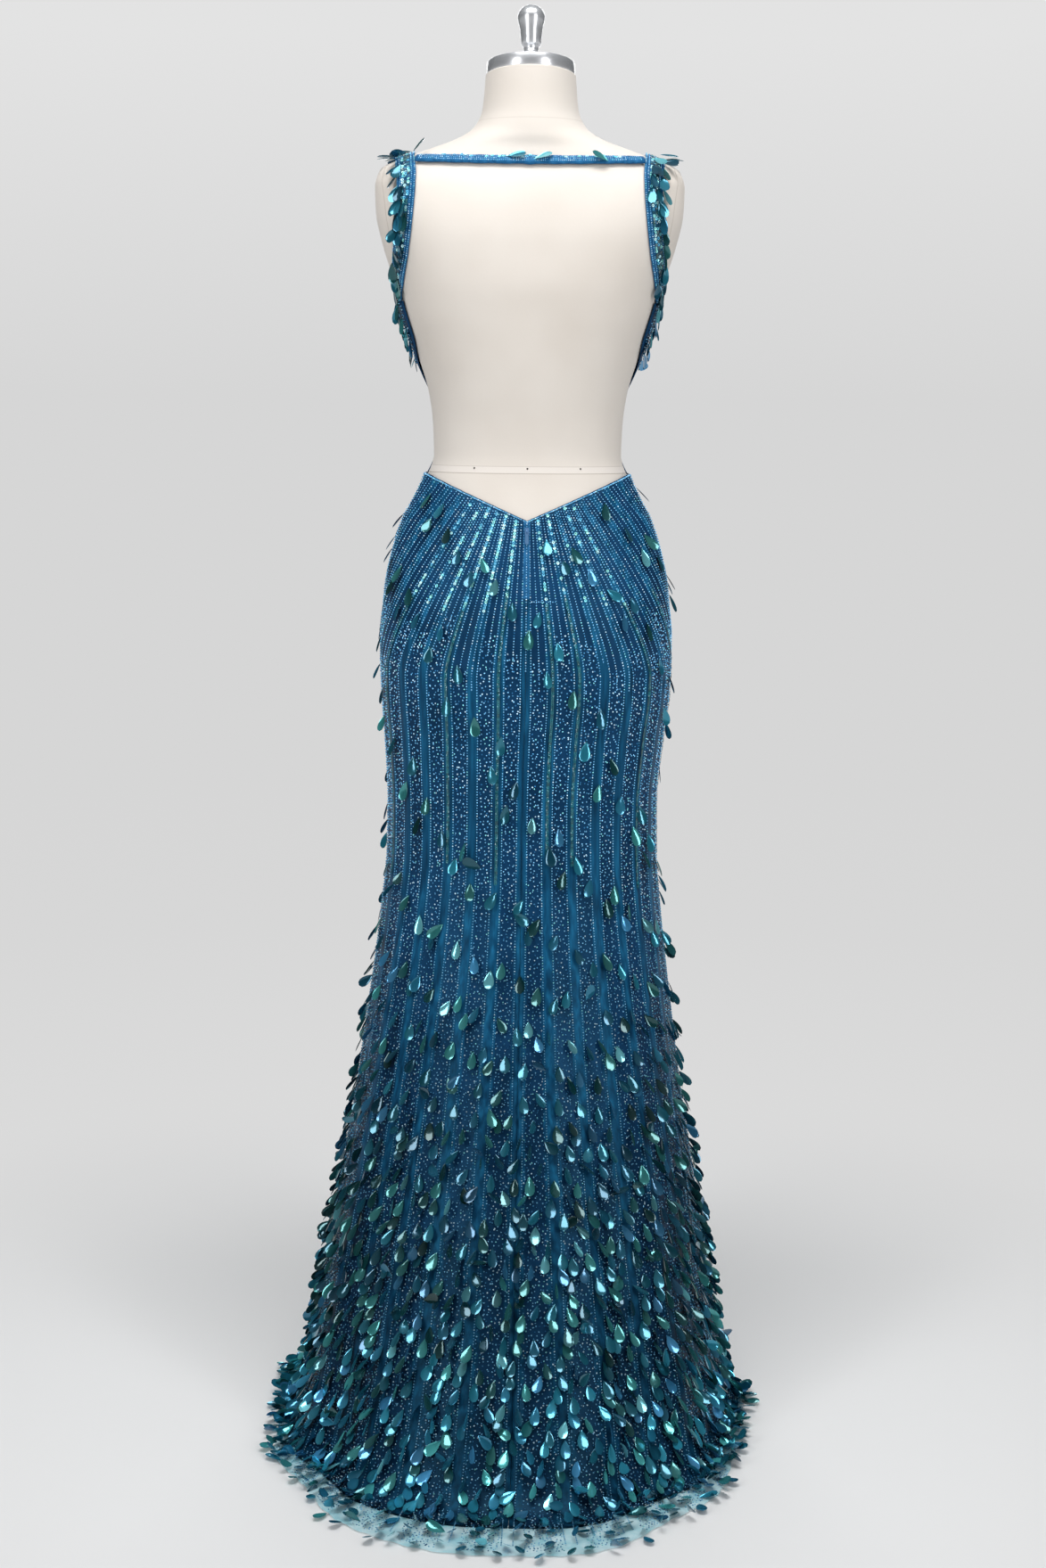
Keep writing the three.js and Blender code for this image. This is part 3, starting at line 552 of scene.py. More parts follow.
# Satin has a cool sheen, broken into long streaks by its floats. Single floats are too fine to
# show, so the streaks are drawn 6 mm apart and 100 mm long; in the bands' colour they are painted
# sheen and shade. The net with its beads makes the strips darker than the bands between, and both
# are painted darker low down, a painted shade where paillettes shade them.
SATIN_SHEEN = "#6CC0EA"
BAND_TONES_WITH_PAINTED_SHEEN = ((0.3, "#082D49"), (0.5, "#0F4568"), (0.72, "#1C648C"))
STRIP_TONES = ((0.35, "#0B2B4A"), (0.65, "#12395E"))
cloth, tree = new_material("fine net over satin lining")
uv = add(tree, "SeparateXYZ", {0: add(tree, "UVMap", uv_map="cloth").outputs[0]})
spot = add(tree, "TexCoord").outputs["Object"]
stretch = add(tree, "Mapping", {"Vector": spot, "Scale": (1.0, 1.0, 0.06)})
streak = add(tree, "TexNoise", {"Vector": stretch.outputs[0], "Scale": 160.0, "Detail": 3.0})
cloud = add(tree, "TexNoise", {"Vector": spot, "Scale": 11.0, "Detail": 2.0})
# Painted sheen and shade: the bands' colour runs light and dark along the streaks.
band_painted_sheen = add(tree, "ValToRGB", {"Fac": streak.outputs["Fac"]}, BAND_TONES_WITH_PAINTED_SHEEN).outputs["Color"]
strip_tone = add(tree, "ValToRGB", {"Fac": cloud.outputs["Fac"]}, STRIP_TONES).outputs["Color"]
to_band = add(tree, "Math", {0: uv.outputs["X"], 1: 0.5}, operation="PINGPONG")
in_strip = add(tree, "MapRange", {"Value": to_band.outputs[0], "From Min": 0.2, "From Max": 0.26})
striped = {"Factor": in_strip.outputs["Result"], 6: band_painted_sheen, 7: strip_tone}
striped = add(tree, "Mix", striped, data_type="RGBA").outputs[2]
# Painted shade: the colour darkens toward the hem, under the paillettes.
deep = add(tree, "MapRange", {
    "Value": uv.outputs["Y"], "From Min": 0.12, "From Max": 0.6, "To Min": 0.45, "To Max": 1.0,
})
base = {"Factor": 1.0, 6: striped, 7: deep.outputs["Result"]}
base = add(tree, "Mix", base, data_type="RGBA", blend_type="MULTIPLY").outputs[2]
rough = add(tree, "MapRange", {"Value": streak.outputs["Fac"], "To Min": 0.36, "To Max": 0.55})
bump = add(tree, "Bump", {"Strength": 0.35, "Distance": 0.0008, "Height": streak.outputs["Fac"]})
satin = add(tree, "BsdfPrincipled", {
    "Base Color": base, "Roughness": rough.outputs["Result"], "Specular IOR Level": 0.3,
    "Specular Tint": ink(SATIN_SHEEN), "Normal": bump.outputs[0],
})
add(tree, "OutputMaterial", {"Surface": satin.outputs[0]})

PANELS = (("front", 0.25, 0.75), ("back_left", 0.0, 0.25), ("back_right", -0.25, 0.0))
skirt = {name: skirt_panel(name, first, last) for name, first, last in PANELS}

# Below the lining's hem only the sheer net goes on, in a margin that is wide at the train
# and narrow in front. It is polyester tulle, pale where nothing dark lies under it.
FRILL, FRILL_WAVES = 1.2, 64
share = np.linspace(0.5, -0.5, 361)[None, :-1]
station = np.linspace(LINING_END + 6, NET_END, 12)[:, None] + 0 * share
share = share + 0 * station
wrapped = np.where(share == 0.5, -0.5, share)
frill = FRILL * np.sin(2 * np.pi * FRILL_WAVES * share) * smoothstep(-40, NET_END, station)
points = skirt_point(from_table(ANGLES, wrapped, station), station, frill - 0.4)
points[..., 2] = np.maximum(points[..., 2], 0.4)
hem_net = put_grid("hem_net", points, ring=True)

# Tulle lets a third of the light through. Its crumples, about 22 mm apart, are drawn only in its
# colour, paler where they would catch the light: a painted highlight.
tulle, tree = new_material("sheer polyester tulle")
spot = add(tree, "TexCoord").outputs["Object"]
painted_crumple_light = add(tree, "TexNoise", {"Vector": spot, "Scale": 45.0, "Detail": 4.0})
tone = add(tree, "ValToRGB", {"Fac": painted_crumple_light.outputs["Fac"]}, ((0.35, "#8FCFDB"), (0.65, "#CBEAF0")))
film = add(tree, "BsdfPrincipled", {"Base Color": tone.outputs["Color"], "Roughness": 0.6, "Alpha": 0.66})
add(tree, "OutputMaterial", {"Surface": film.outputs[0]})
dress(hem_net, tulle)

# Glass seed beads, about 2 mm across, are sewn on through the net: a close row along both
# edges of each strip and loose ones between. Where the strips are gathered behind, they
# give way to close rows. The front has fewer loose beads.
BEAD = np.array([(1, 0, 0), (0, 1, 0), (-1, 0, 0), (0, -1, 0), (0, 0, 1), (0, 0, -1)], float)
BEAD_FACES = np.array([
    (0, 1, 4), (1, 2, 4), (2, 3, 4), (3, 0, 4), (1, 0, 5), (2, 1, 5), (3, 2, 5), (0, 3, 5),
])
BEAD_STEP, CELL_BEHIND, CELL_IN_FRONT = 3.3, 4.5, 7.0
SHARE_STEP = 1e-4
chance = np.random.default_rng(5)


def inks(*codes):
    """Linear colours of sRGB hex codes, one row each."""
    return np.array([ink(code)[:3] for code in codes])


BEAD_COLOURS = inks("#84C8F0", "#C8ECFF", "#6CB0DA", "#4A8EBC", "#2F6E9E", "#8CE0EA")
# Silver-lined glass gives every bead one small bright point with a cool edge.
glass = plain_material("silver-lined glass", "tint", {"Roughness": 0.22, "Specular Tint": ink("#8FD0FF")})
trims = {name: [] for name in skirt}


def sewn(name, shape, faces, material, places, axes, size, tint, on):
    """Many copies of one small shape in one mesh, listed with what is sewn on a piece of cloth. Each point
    is place + size * (x across + y down + z outward)."""
    spun = sum(shape[None, :, i, None] * axes[i][:, None, :] for i in range(3))
    points = places[:, None, :] + spun * np.reshape(size, (-1, 1, 1))
    numbers = faces[None] + np.arange(len(places))[:, None, None] * len(shape)
    colours = np.concatenate([np.repeat(tint, len(shape), 0), np.ones((len(places) * len(shape), 1))], 1)
    made = put_mesh(name, points.reshape(-1, 3), numbers.reshape(-1, faces.shape[1]), tint=colours)
    on.append(dress(made, material))


def beads(name, places, axes, size, tint, on):
    """Beads sewn on at places."""
    sewn(name, BEAD, BEAD_FACES, glass, places, axes, size, tint, on)


def by_panel(share):
    """Each panel's name, and which of the shares of the girth lie on it."""
    behind = np.abs(share) < 0.25
    return ("front", ~behind), ("back_left", behind & (share >= 0)), ("back_right", behind & (share < 0))


def along(line, start, end, step):
    """Stations about one step apart along a pattern line, measured on the cloth itself."""
    station = np.arange(start, end, -2.0)
    path = skirt_point(from_table(ANGLES, gathered(line + 0 * station, station), station), station)
    length = np.concatenate([[0], np.cumsum(np.linalg.norm(np.diff(path, axis=0), axis=1))])
    return np.interp(np.arange(step / 2, length[-1], step), length, station)


def line_top(line):
    """The station where a line of the pattern ends, just below the top edge."""
    return skirt_top(gathered(np.array([line]), np.array([1150.0])))[0] - 2


def bead_places():
    """Line and station of every bead of the skirt, with a mark that is 1 for those in close rows. Each
    strip has a row along both its edges, two more rows where it is gathered, and loose beads below, one
    to a cell of the strip, each moved a little within its cell."""
    rows = []
    for k in range(STRIPS):
        middle = (k + 0.5) / STRIPS - 0.5
        for side in (-1, 1):
            station = along(middle, line_top(middle), -80, BEAD_STEP)
            rows.append((middle + side * strip_half(station) / STRIPS, station, 1 + 0 * station))
        foot = 985 - 75 * chance.random()
        if abs(middle) < 0.36:
            for line in (middle - 0.5 / STRIPS, middle):
                station = along(line, line_top(line), foot, BEAD_STEP)
                rows.append((line + 0 * station, station, 1 + 0 * station))
        cell = CELL_BEHIND if abs(middle) < 0.27 else CELL_IN_FRONT
        station = np.repeat(along(middle, foot + 25, -96, cell), 9)
        lane = np.tile(np.arange(9), len(station) // 9)
        width = 2 * strip_half(station) * girth(station) / STRIPS - 3
        count = np.maximum(1, np.floor(width / cell))
        station, lane, width, count = (values[lane < count] for values in (station, lane, width, count))
        offset = ((lane + 0.5 + chance.uniform(-0.4, 0.4, len(lane))) / count - 0.5) * width
        slip = chance.uniform(-0.45, 0.45, len(lane)) * cell
        rows.append((middle + offset / girth(station), station + slip, 0 * station))
    top_edge, zip_foot = np.linspace(-0.2495, 0.2495, 250), np.linspace(-0.037, -0.007, 11)
    for share, station in ((top_edge, skirt_top(top_edge) - 1.6), (zip_foot, np.full(11, 1019.0))):
        rows.append((from_table(LINES, share, station), station, 1 + 0 * station))
    return (np.concatenate(column) for column in zip(*rows))


line, station, in_row = bead_places()
share = gathered(line, station)
keep = (station < skirt_top(share) - 1.5) & (np.abs(share) < 0.4999)
station, share, in_row = station[keep], share[keep], in_row[keep] > 0
axes = face_axes(skirt_face, share, station, SHARE_STEP)
places = skirt_face(share, station, 0.7)
places[:, 2] = np.maximum(places[:, 2], 2.2)
size = np.where(in_row, chance.uniform(0.95, 1.1, len(share)), chance.uniform(0.95, 1.3, len(share)))
pick = np.where(
    in_row,
    chance.choice(6, len(share), p=(0.4, 0.12, 0.3, 0.1, 0.03, 0.05)),
    chance.choice(6, len(share), p=(0.3, 0.17, 0.18, 0.15, 0.12, 0.08)),
)
# Painted shade: beads are drawn dimmer low down, where paillettes hang over them, and a little dimmer from
# 980 mm up.
bright = 0.65 + 0.75 * smoothstep(450, 880, station) - 0.2 * smoothstep(980, 1060, station)
tint = BEAD_COLOURS[pick] * (chance.uniform(0.8, 1.1, len(share)) * bright)[:, None]
for name, mine in by_panel(share):
    beads("skirt_beads_" + name, places[mine], axes[:, mine], size[mine], tint[mine], trims[name])

# Teardrop paillettes, about 24 by 12 mm, are cut from lacquered film, flat with a rim that is
# pressed up. Each hangs by its pointed end from one stitch, few on the hips and very many
# at the hem, where they stand out past the cloth.
DROP_LENGTH, DROP_HALF = 24, 6.1
DROP_ROWS = np.array([0.0, 0.14, 0.34, 0.56, 0.76, 0.92, 1.0])
DROP_COLUMNS = ((-1, 1), (-0.62, 0.08), (0.62, 0.08), (1, 1))
PAILLETTE = np.array([
    (x * half, DROP_LENGTH * t, rim * np.sin(np.pi * t) ** 0.5 + 0.8 * t * t)
    for t, half in zip(DROP_ROWS, DROP_HALF * 2.6 * DROP_ROWS * np.sqrt(1 - DROP_ROWS))
    for x, rim in DROP_COLUMNS
])
quads = grid_faces(len(DROP_ROWS), len(DROP_COLUMNS))
PAILLETTE_FACES = np.concatenate([
    quads[:3, [0, 1, 2]], quads[3:-3, [0, 1, 2]], quads[3:-3, [0, 2, 3]], quads[-3:, [0, 1, 3]],
])
FILM_COLOURS = inks("#2F8CA6", "#2A7C9C", "#46A2A4", "#4796C6", "#7CD6E4", "#24686E")
DENSITY = np.array([
    # station and paillettes to the square metre
    (-106, 1500), (-80, 1900), (-50, 2900), (0, 3300), (150, 3200), (280, 2900), (360, 2300), (430, 1700),
    (500, 1200), (600, 800), (680, 520), (800, 300), (860, 220), (950, 220), (1000, 420), (1060, 620),
    (1170, 560),
], float)
# Lacquered film mirrors the room in its own dark colour, and its clear coat adds a sharp glint.
lacquer = plain_material("lacquered polyester film", "tint", {
    "Roughness": 0.14, "Metallic": 0.55, "Coat Weight": 0.5,
})


def swung(one, other, turn):
    """Two axes turned in their own plane, the first toward the second, by angles in radians."""
    c, s = np.cos(turn)[:, None], np.sin(turn)[:, None]
    return c * one + s * other, c * other - s * one


def hung(axes, yaw, lift, roll):
    """Axes of a hanging piece: turned in the cloth's plane by yaw, its free end lifted off by lift, and
    rolled about its own length, all in radians."""
    across, down, out = axes
    down, _ = swung(down, across, yaw)
    across = np.cross(down, out)
    down, out = swung(down, out, lift)
    across, out = swung(across, out, roll)
    return np.stack([across, down, out])


def hung_loosely(axes, spread):
    """Axes of pieces that each hang a little their own way, with the spread of their yaw."""
    count = len(axes[0])
    yaw, lift = chance.normal(0, spread, count), chance.uniform(0.05, 0.35, count)
    return hung(axes, yaw, lift, chance.normal(0, 0.3, count))


def film_tints(count, low, high, p=None):
    """Colours drawn from the film's own with chances p, each at a brightness between low and high."""
    return FILM_COLOURS[chance.choice(6, count, p=p)] * chance.uniform(low, high, (count, 1))


def paillettes(name, places, axes, size, tint, on):
    """Paillettes hung at places by their points, and raised where they would pass through the floor."""
    ends = places + axes[1] * DROP_LENGTH * size[:, None]
    lowest = np.minimum(ends[:, 2], places[:, 2]) - (DROP_HALF + 0.2) * size * np.abs(axes[0][:, 2])
    places = places + np.stack([0 * lowest, 0 * lowest, np.maximum(0, 1.5 - lowest)], -1)
    sewn(name, PAILLETTE, PAILLETTE_FACES, lacquer, places, axes, size, tint, on)


# Stations are spread by the cloth's area times the density, and shares evenly. Both go round in
# steps of 1/p and 1/p^2, where p = 1.3247 is the plastic number, so that no pattern shows. In
# front, three in ten are left out. Low down they hang more loosely.
cut = np.linspace(-105, 1165, 600)
weight = girth(cut) * np.interp(cut, DENSITY[:, 0], DENSITY[:, 1])
index = np.arange(int((weight.sum() * (cut[1] - cut[0])) * 1e-6 * 1.02))
station = np.interp((index * 0.754877666 + 0.3) % 1, np.cumsum(weight) / weight.sum(), cut)
share = ((index * 0.569840291 + 0.1) % 1) - 0.5
kept_in_front = chance.random(len(index)) < 0.7
keep = (station < skirt_top(share) - 4) & ((np.abs(share) < 0.27) | kept_in_front)
station, share = station[keep], share[keep]
count = len(share)
loose = smoothstep(1000, 200, station)
yaw = chance.normal(0, 0.17, count) * (1 + 0.6 * loose) * np.where(chance.random(count) < 0.1, 3.5, 1)
roll = chance.normal(0, 0.3, count) * (1 + 1.1 * loose)
lift = chance.uniform(0.03, 0.3, count) + 0.2 * loose * chance.random(count) + 0.28 * np.abs(roll)
axes = face_axes(skirt_face, share, station, SHARE_STEP)
axes = hung(axes, yaw, np.minimum(lift, 0.8), np.clip(roll, -1.1, 1.1))
places = skirt_face(share, station, 1.2)
size = chance.uniform(0.88, 1.08, count)
tint = film_tints(count, 0.3, 1.0, (0.3, 0.22, 0.2, 0.1, 0.04, 0.14))
# Painted light and shade: the film is drawn brighter near the hem as painted light, and darker from about 100
# to 600 mm up as painted shade where the paillettes lie thickest.
painted_film_shade = 0.38 * smoothstep(100, 220, station) * smoothstep(600, 400, station)
tint = tint * (1 + 0.5 * smoothstep(160, 20, station) - painted_film_shade)[:, None]
for name, mine in by_panel(share):
    paillettes("skirt_paillettes_" + name, places[mine], axes[:, mine], size[mine], tint[mine], trims[name])

# Flat ring sequins, 3.8 mm across, are punched from pearly film and sewn in chains down some
# of the plain bands: dark teal ones from the gathers to the thighs, and pale ones that
# sparkle beside the open back.
RING_RADIUS, RING_HOLE = 1.9, 0.36
spoke, around = np.linspace(0, 2 * np.pi, 9)[:-1], np.arange(8)
rim = np.stack([np.cos(spoke), np.sin(spoke), 0 * spoke], -1)
RING = np.concatenate([rim + [0, 0, 0.15], rim * RING_HOLE])
RING_FACES = np.stack([around, (around + 1) % 8, 8 + (around + 1) % 8, 8 + around], -1)
TEAL_RING, PALE_RINGS = inks("#1D6672"), inks("#7FE4F2", "#C8FBFF", "#58B6DE", "#9CF0E8")
TEAL_BANDS = (1, 3, 6, 8, 11, 13, -1, -2, -5, -7, -10, -12)
CHAINS = (
    # band, lowest and highest station, share kept, and 1 for pale ones
    *[(k, 660 + 12 * (k % 5), 1040 - 8 * (k % 4), 1.0, 0) for k in TEAL_BANDS],
    *[(k, 1004, 1116 + 6 * k, 0.85, 1) for k in (1, 2, 3, 4)],
    *[(k, 1010, 1110 + 6 * abs(k), 0.4, 1) for k in (5, 6, -1, -2, -3, -4, -5)],
)
# Pearl lacquer is pale and glossy and mirrors little.
sequin = plain_material("pearl-lacquered sequin", "tint", {
    "Roughness": 0.2, "Metallic": 0.1, "Coat Weight": 0.5,
})


def ringed(name, places, axes, tint, on):
    """Ring sequins sewn flat at places, each tipped a little its own way."""
    count = len(places)
    axes = hung(axes, np.zeros(count), chance.normal(0, 0.16, count), chance.normal(0, 0.16, count))
    sewn(name, RING, RING_FACES, sequin, places, axes, np.full(count, RING_RADIUS), tint, on)


chains = []
for band, low, high, kept, pale in CHAINS:
    station = along(band / STRIPS, high, low, 3.7 if pale else 2.7)
    station = station[chance.random(len(station)) < kept]
    chains.append(np.stack([gathered(band / STRIPS + 0 * station, station), station, pale + 0 * station], -1))
share, station, pale = np.concatenate(chains).T
keep = station < skirt_top(share) - 4
share, station, pale = share[keep], station[keep], pale[keep, None] > 0
axes = face_axes(skirt_face, share, station, SHARE_STEP)
places = skirt_face(share, station, 1.0)
tint = np.where(
    pale, PALE_RINGS[chance.choice(4, len(share))], TEAL_RING * chance.uniform(0.6, 1.6, (len(share), 1)),
)
for name, mine in by_panel(share):
    ringed("skirt_sequins_" + name, places[mine], axes[:, mine], tint[mine], trims[name])

# The bodice is two halves of the skirt's cloth with a seam at the centre front and a plain V
# neck. Its strips of beads run on up from the waist, and its edges are turned in under a
# narrow bound edge.
SIDE_EDGE = np.array([
    # height, and the back edge's angle round from the centre front
    (1169, 90), (1184, 84), (1215, 78), (1260, 80), (1288, 89), (1310, 99), (1331, 104.5), (1353, 105.8),
    (1450, 105.8),
], float)
TOP_EDGE = np.array([
    # share of the way from the centre front to the back edge, and height
    (0, 1345), (0.13, 1368), (0.26, 1394), (0.4, 1423), (0.527, 1450), (0.603, 1450), (0.65, 1424),
    (0.7, 1402), (0.76, 1388), (0.84, 1378), (0.92, 1374), (1, 1374),
], float)
HALF_STRIPS = 7.5


def bodice_face(side, share, z, out=0.0):
    """The bodice's outer face: the form's own point, moved out by the cloth's ease and by a soft bell where
    the cloth spans the foot of the bust, and drawn close along the back edge at the waist. share runs
    from the centre front to the back edge."""
    seam = np.degrees(0.15 / read(FORM, 2, z))
    angle = seam + (read(SIDE_EDGE, 1, z) - seam) * share
    span = 3 * np.exp(-(((angle - 37) / 27.2) ** 2) - ((z - 1328) / 54.6) ** 2)
    drawn_in = 2.2 * smoothstep(0.8, 1, share) * smoothstep(1300, 1260, z)
    return form_point(side * angle, z, EASE + 0.4 + span + out - drawn_in)


for side, name in ((1, "left"), (-1, "right")):
    face, step = partial(bodice_face, side), -0.001 * side
    share = np.linspace(0, 1, 61)[None, ::side]
    foot = WAIST_Z + 0.3
    z = foot + (read(TOP_EDGE, 1, share) - foot) * np.linspace(1, 0, 46)[:, None]
    share = share + 0 * z
    points = face(share, z, 0.4 * np.cos(2 * np.pi * HALF_STRIPS * share))
    made = put_grid("bodice_%s_cloth" % name, points, uv=np.stack([share * HALF_STRIPS, z * 0.001], -1))
    dress(walled(made, CLOTH_WALL), cloth, "bodice_" + name)
    on = trims["bodice_" + name] = []

    spots = []
    for k in range(8):
        for edge in (0.25, 0.75):
            x = (k + edge) / HALF_STRIPS
            if x < 0.99:
                z = np.arange(read(TOP_EDGE, 1, x) - 3, WAIST_Z + 3, -BEAD_STEP)
                spots.append(np.stack([x + 0 * z, z], -1))
        z = np.repeat(np.arange(1446, WAIST_Z + 3, -6.0), 3)
        lane = np.tile([-1, 0, 1], len(z) // 3) + chance.uniform(-0.4, 0.4, len(z))
        x = (k + 0.5 + lane * 0.15) / HALF_STRIPS
        spots.append(np.stack([x, z + chance.uniform(-2.5, 2.5, len(z))], -1))
    x, z = np.concatenate(spots).T
    keep = (x > 0.01) & (x < np.where(z < 1300, 0.94, 0.985)) & (z < read(TOP_EDGE, 1, x) - 2)
    x, z = x[keep], z[keep]
    tint = BEAD_COLOURS[chance.choice(6, len(x), p=(0.35, 0.15, 0.25, 0.15, 0.05, 0.05))]
    size = chance.uniform(0.85, 1.1, len(x))
    beads("bodice_beads_" + name, face(x, z, 0.9), face_axes(face, x, z, step), size, tint, on)

    index = np.arange(75)
    x, z = 0.03 + 0.92 * ((index * 0.7549) % 1), 1180 + 250 * ((index * 0.5698) % 1)
    keep = (z < read(TOP_EDGE, 1, x) - 6) & ((x < 0.75) | (z > 1300))
    by_edge = np.arange(1370, 1304, -7.0)
    x = np.concatenate([x[keep], 0.955 - 0.05 * (np.arange(len(by_edge)) % 2)])
    z = np.concatenate([z[keep], by_edge])
    axes = hung_loosely(face_axes(face, x, z, step), 0.3)
    tint = film_tints(len(x), 0.6, 1.1)
    size = chance.uniform(0.88, 1.05, len(x))
    paillettes("bodice_paillettes_" + name, face(x, z, 1.3), axes, size, tint, on)

# The shoulder straps are flat satin-faced bands, beaded on the outside. Each runs from the
# front neckline over the shoulder, down beside the shoulder blade and under the arm.
STRAP = np.array([
    # distance from the middle, height, and -1 in front, 0 on top or 1 behind
    (130, 1451.2, -1), (131.5, 1460, -1), (138, 1495, -1), (146, 1530, -1), (149, 1545, 0), (148, 1534, 1),
    (146, 1514, 1), (148, 1474, 1), (152, 1434, 1), (156, 1400, 1), (156, 1384, 1), (155, 1375.8, 1),
], float)
STRAP_WIDTH = 24

# The strap cloth has the lining's cool sheen. Its grain is finer than a millimetre and is drawn
# 4.5 mm apart, so that it shows.
face_cloth, tree = new_material("satin-faced strap cloth")
spot = add(tree, "TexCoord").outputs["Object"]
grain = add(tree, "TexNoise", {"Vector": spot, "Scale": 220.0, "Detail": 3.0})
tone = add(tree, "ValToRGB", {"Fac": grain.outputs["Fac"]}, ((0.3, "#184A74"), (0.7, "#2A6796")))
rib = add(tree, "Bump", {"Strength": 0.3, "Distance": 0.0006, "Height": grain.outputs["Fac"]})
satin = add(tree, "BsdfPrincipled", {
    "Base Color": tone.outputs["Color"], "Roughness": 0.42, "Specular IOR Level": 0.3,
    "Specular Tint": ink(SATIN_SHEEN), "Normal": rib.outputs[0],
})
add(tree, "OutputMaterial", {"Surface": satin.outputs[0]})


def outside(p):
    """How far points lie outside the form, as a share of its section in their direction."""
    mid = read(FORM, 4, p[..., 2])
    angle = np.degrees(np.arctan2(p[..., 0], mid - p[..., 1]))
    edge = form_point(angle, p[..., 2])
    return np.hypot(p[..., 0], p[..., 1] - mid) / np.hypot(edge[..., 0], edge[..., 1] - mid) - 1


def on_form(p):
    """The nearest points of the form and its outward normals there, by thirteen Newton steps along the
    slope of outside(p)."""
    steps = 0.5 * np.eye(3)
    for _ in range(13):
        slope = np.stack([outside(p + step) - outside(p - step) for step in steps], -1)
        p = p - slope * (outside(p) / (slope**2).sum(-1))[..., None]
    return p, unit(slope)


def uphill(normal):
    """The way up along a face, from its unit normals."""
    return unit(np.array([0, 0, 1]) - normal * normal[:, 2:])


def strap_route(side, count):
    """Evenly spaced points and tangents of a centripetal Catmull-Rom curve through the strap's table rows."""
    x, z, face = STRAP.T
    depth = np.where(face < 0, -read(FORM, 2, z), read(FORM, 3, z)) * np.abs(face)
    square = read(FORM, 5, z)
    share = np.maximum(0, 1 - (x / read(FORM, 1, z)) ** square) ** (1 / square)
    knots, _ = on_form(np.stack([x, read(FORM, 4, z) + depth * share, z], -1))
    knots[:, 0] *= side
    knots = np.concatenate([[2 * knots[0] - knots[1]], knots, [2 * knots[-1] - knots[-2]]])
    gap = np.linalg.norm(np.diff(knots, axis=0), axis=1) ** 0.5
    t = np.linspace(0, 1, 41)[:-1, None]
    path = []
    for i in range(1, len(knots) - 2):
        a, b, c, d = knots[i - 1 : i + 3]
        start = ((b - a) / gap[i - 1] - (c - a) / (gap[i - 1] + gap[i]) + (c - b) / gap[i]) * gap[i]
        end = ((c - b) / gap[i] - (d - b) / (gap[i] + gap[i + 1]) + (d - c) / gap[i + 1]) * gap[i]
        path.append(cubic(t, b, c, start, end))
    path = np.concatenate([*path, knots[-2:-1]])
    length = np.concatenate([[0], np.cumsum(np.linalg.norm(np.diff(path, axis=0), axis=1))])
    at = np.linspace(0, length[-1], count)
    points = np.stack([np.interp(at, length, path[:, i]) for i in range(3)], -1)
    return points, unit(np.gradient(points, axis=0)), length[-1]


def strap_face(side, shares, out, count=140):
    """Points and axes of a shoulder strap: rows along its route, and columns at shares of its width on both
    sides of the middle, each settled on the form and moved out."""
    route, tangent, length = strap_route(side, count)
    middle, normal = on_form(route)
    t = np.linspace(0, 1, count)[:, None]
    level = (1 - smoothstep(0, 0.12, t)) - (1 - smoothstep(0, 0.12, 1 - t))
    run = tangent * (1 - np.abs(level)) + uphill(normal) * level
    across = unit(np.cross(run, normal))
    edge = middle[:, None, :] + across[:, None, :] * (np.array(shares) * STRAP_WIDTH)[None, :, None]
    settled, normals = on_form(edge)
    return settled + normals * np.broadcast_to(out, normals.shape[:2])[..., None], normals, across, length


def strap_lanes(side, shares, pitch, length):
    """Places in lanes along a shoulder strap, about a pitch apart, and their axes."""
    rows, normals, across, _ = strap_face(side, shares, 3.4, int(length / pitch))
    wide = np.broadcast_to(across[:, None, :], rows.shape)
    return rows.reshape(-1, 3), np.stack([wide, np.cross(normals, wide), normals]).reshape(3, -1, 3)


for side, name in ((1, "left"), (-1, "right")):
    shares = np.linspace(0.5, -0.5, 15)
    points, _, _, length = strap_face(side, shares, 2.7 + 0.3 * np.cos(2 * np.pi * 2 * shares))
    made = put_grid("shoulder_strap_%s_cloth" % name, points)
    dress(walled(made, 0.0016), face_cloth, "shoulder_strap_" + name)
    on = trims["strap_" + name] = []

    places, axes = strap_lanes(side, (0.46, 0.3, -0.3, -0.46), 2.5, length)
    tint = BEAD_COLOURS[chance.choice(6, len(places), p=(0.35, 0.2, 0.25, 0.1, 0.02, 0.08))]
    beads("strap_beads_" + name, places, axes, chance.uniform(0.85, 1.05, len(places)), tint, on)

    places, axes = strap_lanes(side, (0.15, 0.0, -0.15), 3.6, length)
    places = places + chance.uniform(-0.5, 0.5, places.shape)
    tint = PALE_RINGS[chance.choice(4, len(places))]
    tint = tint * chance.choice([1.0, 0.3, 0.12], (len(places), 1), p=(0.4, 0.3, 0.3))
    ringed("strap_sequins_" + name, places, axes, tint, on)

    places, normals, _, _ = strap_face(side, np.array([0.45, 0.2, -0.1, -0.4]) * side, 4.0, int(length / 15))
    chosen = chance.random(places.shape[:2]) < (0.95, 0.5, 0.25, 0.04)
    places, out = places[chosen], normals[chosen]
    down = -uphill(out)
    axes = hung_loosely([np.cross(down, out), down, out], 0.25)
    tint = film_tints(len(out), 0.25, 0.9, (0.35, 0.3, 0.1, 0.05, 0.02, 0.18))
    paillettes("strap_paillettes_" + name, places, axes, chance.uniform(0.85, 1.05, len(out)), tint, on)

# A rolled strap joins the shoulder straps across the upper back. It is a tube of the same
# cloth with rows of beads on its outer side, and a small join under sequins at its middle.
HALF_SPAN, ROLL_HALF, ROLL_DEEP = 134, 6.0, 2.4


def on_back(x, z):
    """Points of the form's back at places in X and Z, and its outward normals there."""
    share = np.maximum(0, 1 - np.abs(x / read(FORM, 1, z)) ** read(FORM, 5, z)) ** 0.42
    return on_form(np.stack([x, read(FORM, 4, z) + read(FORM, 3, z) * share, z], -1))


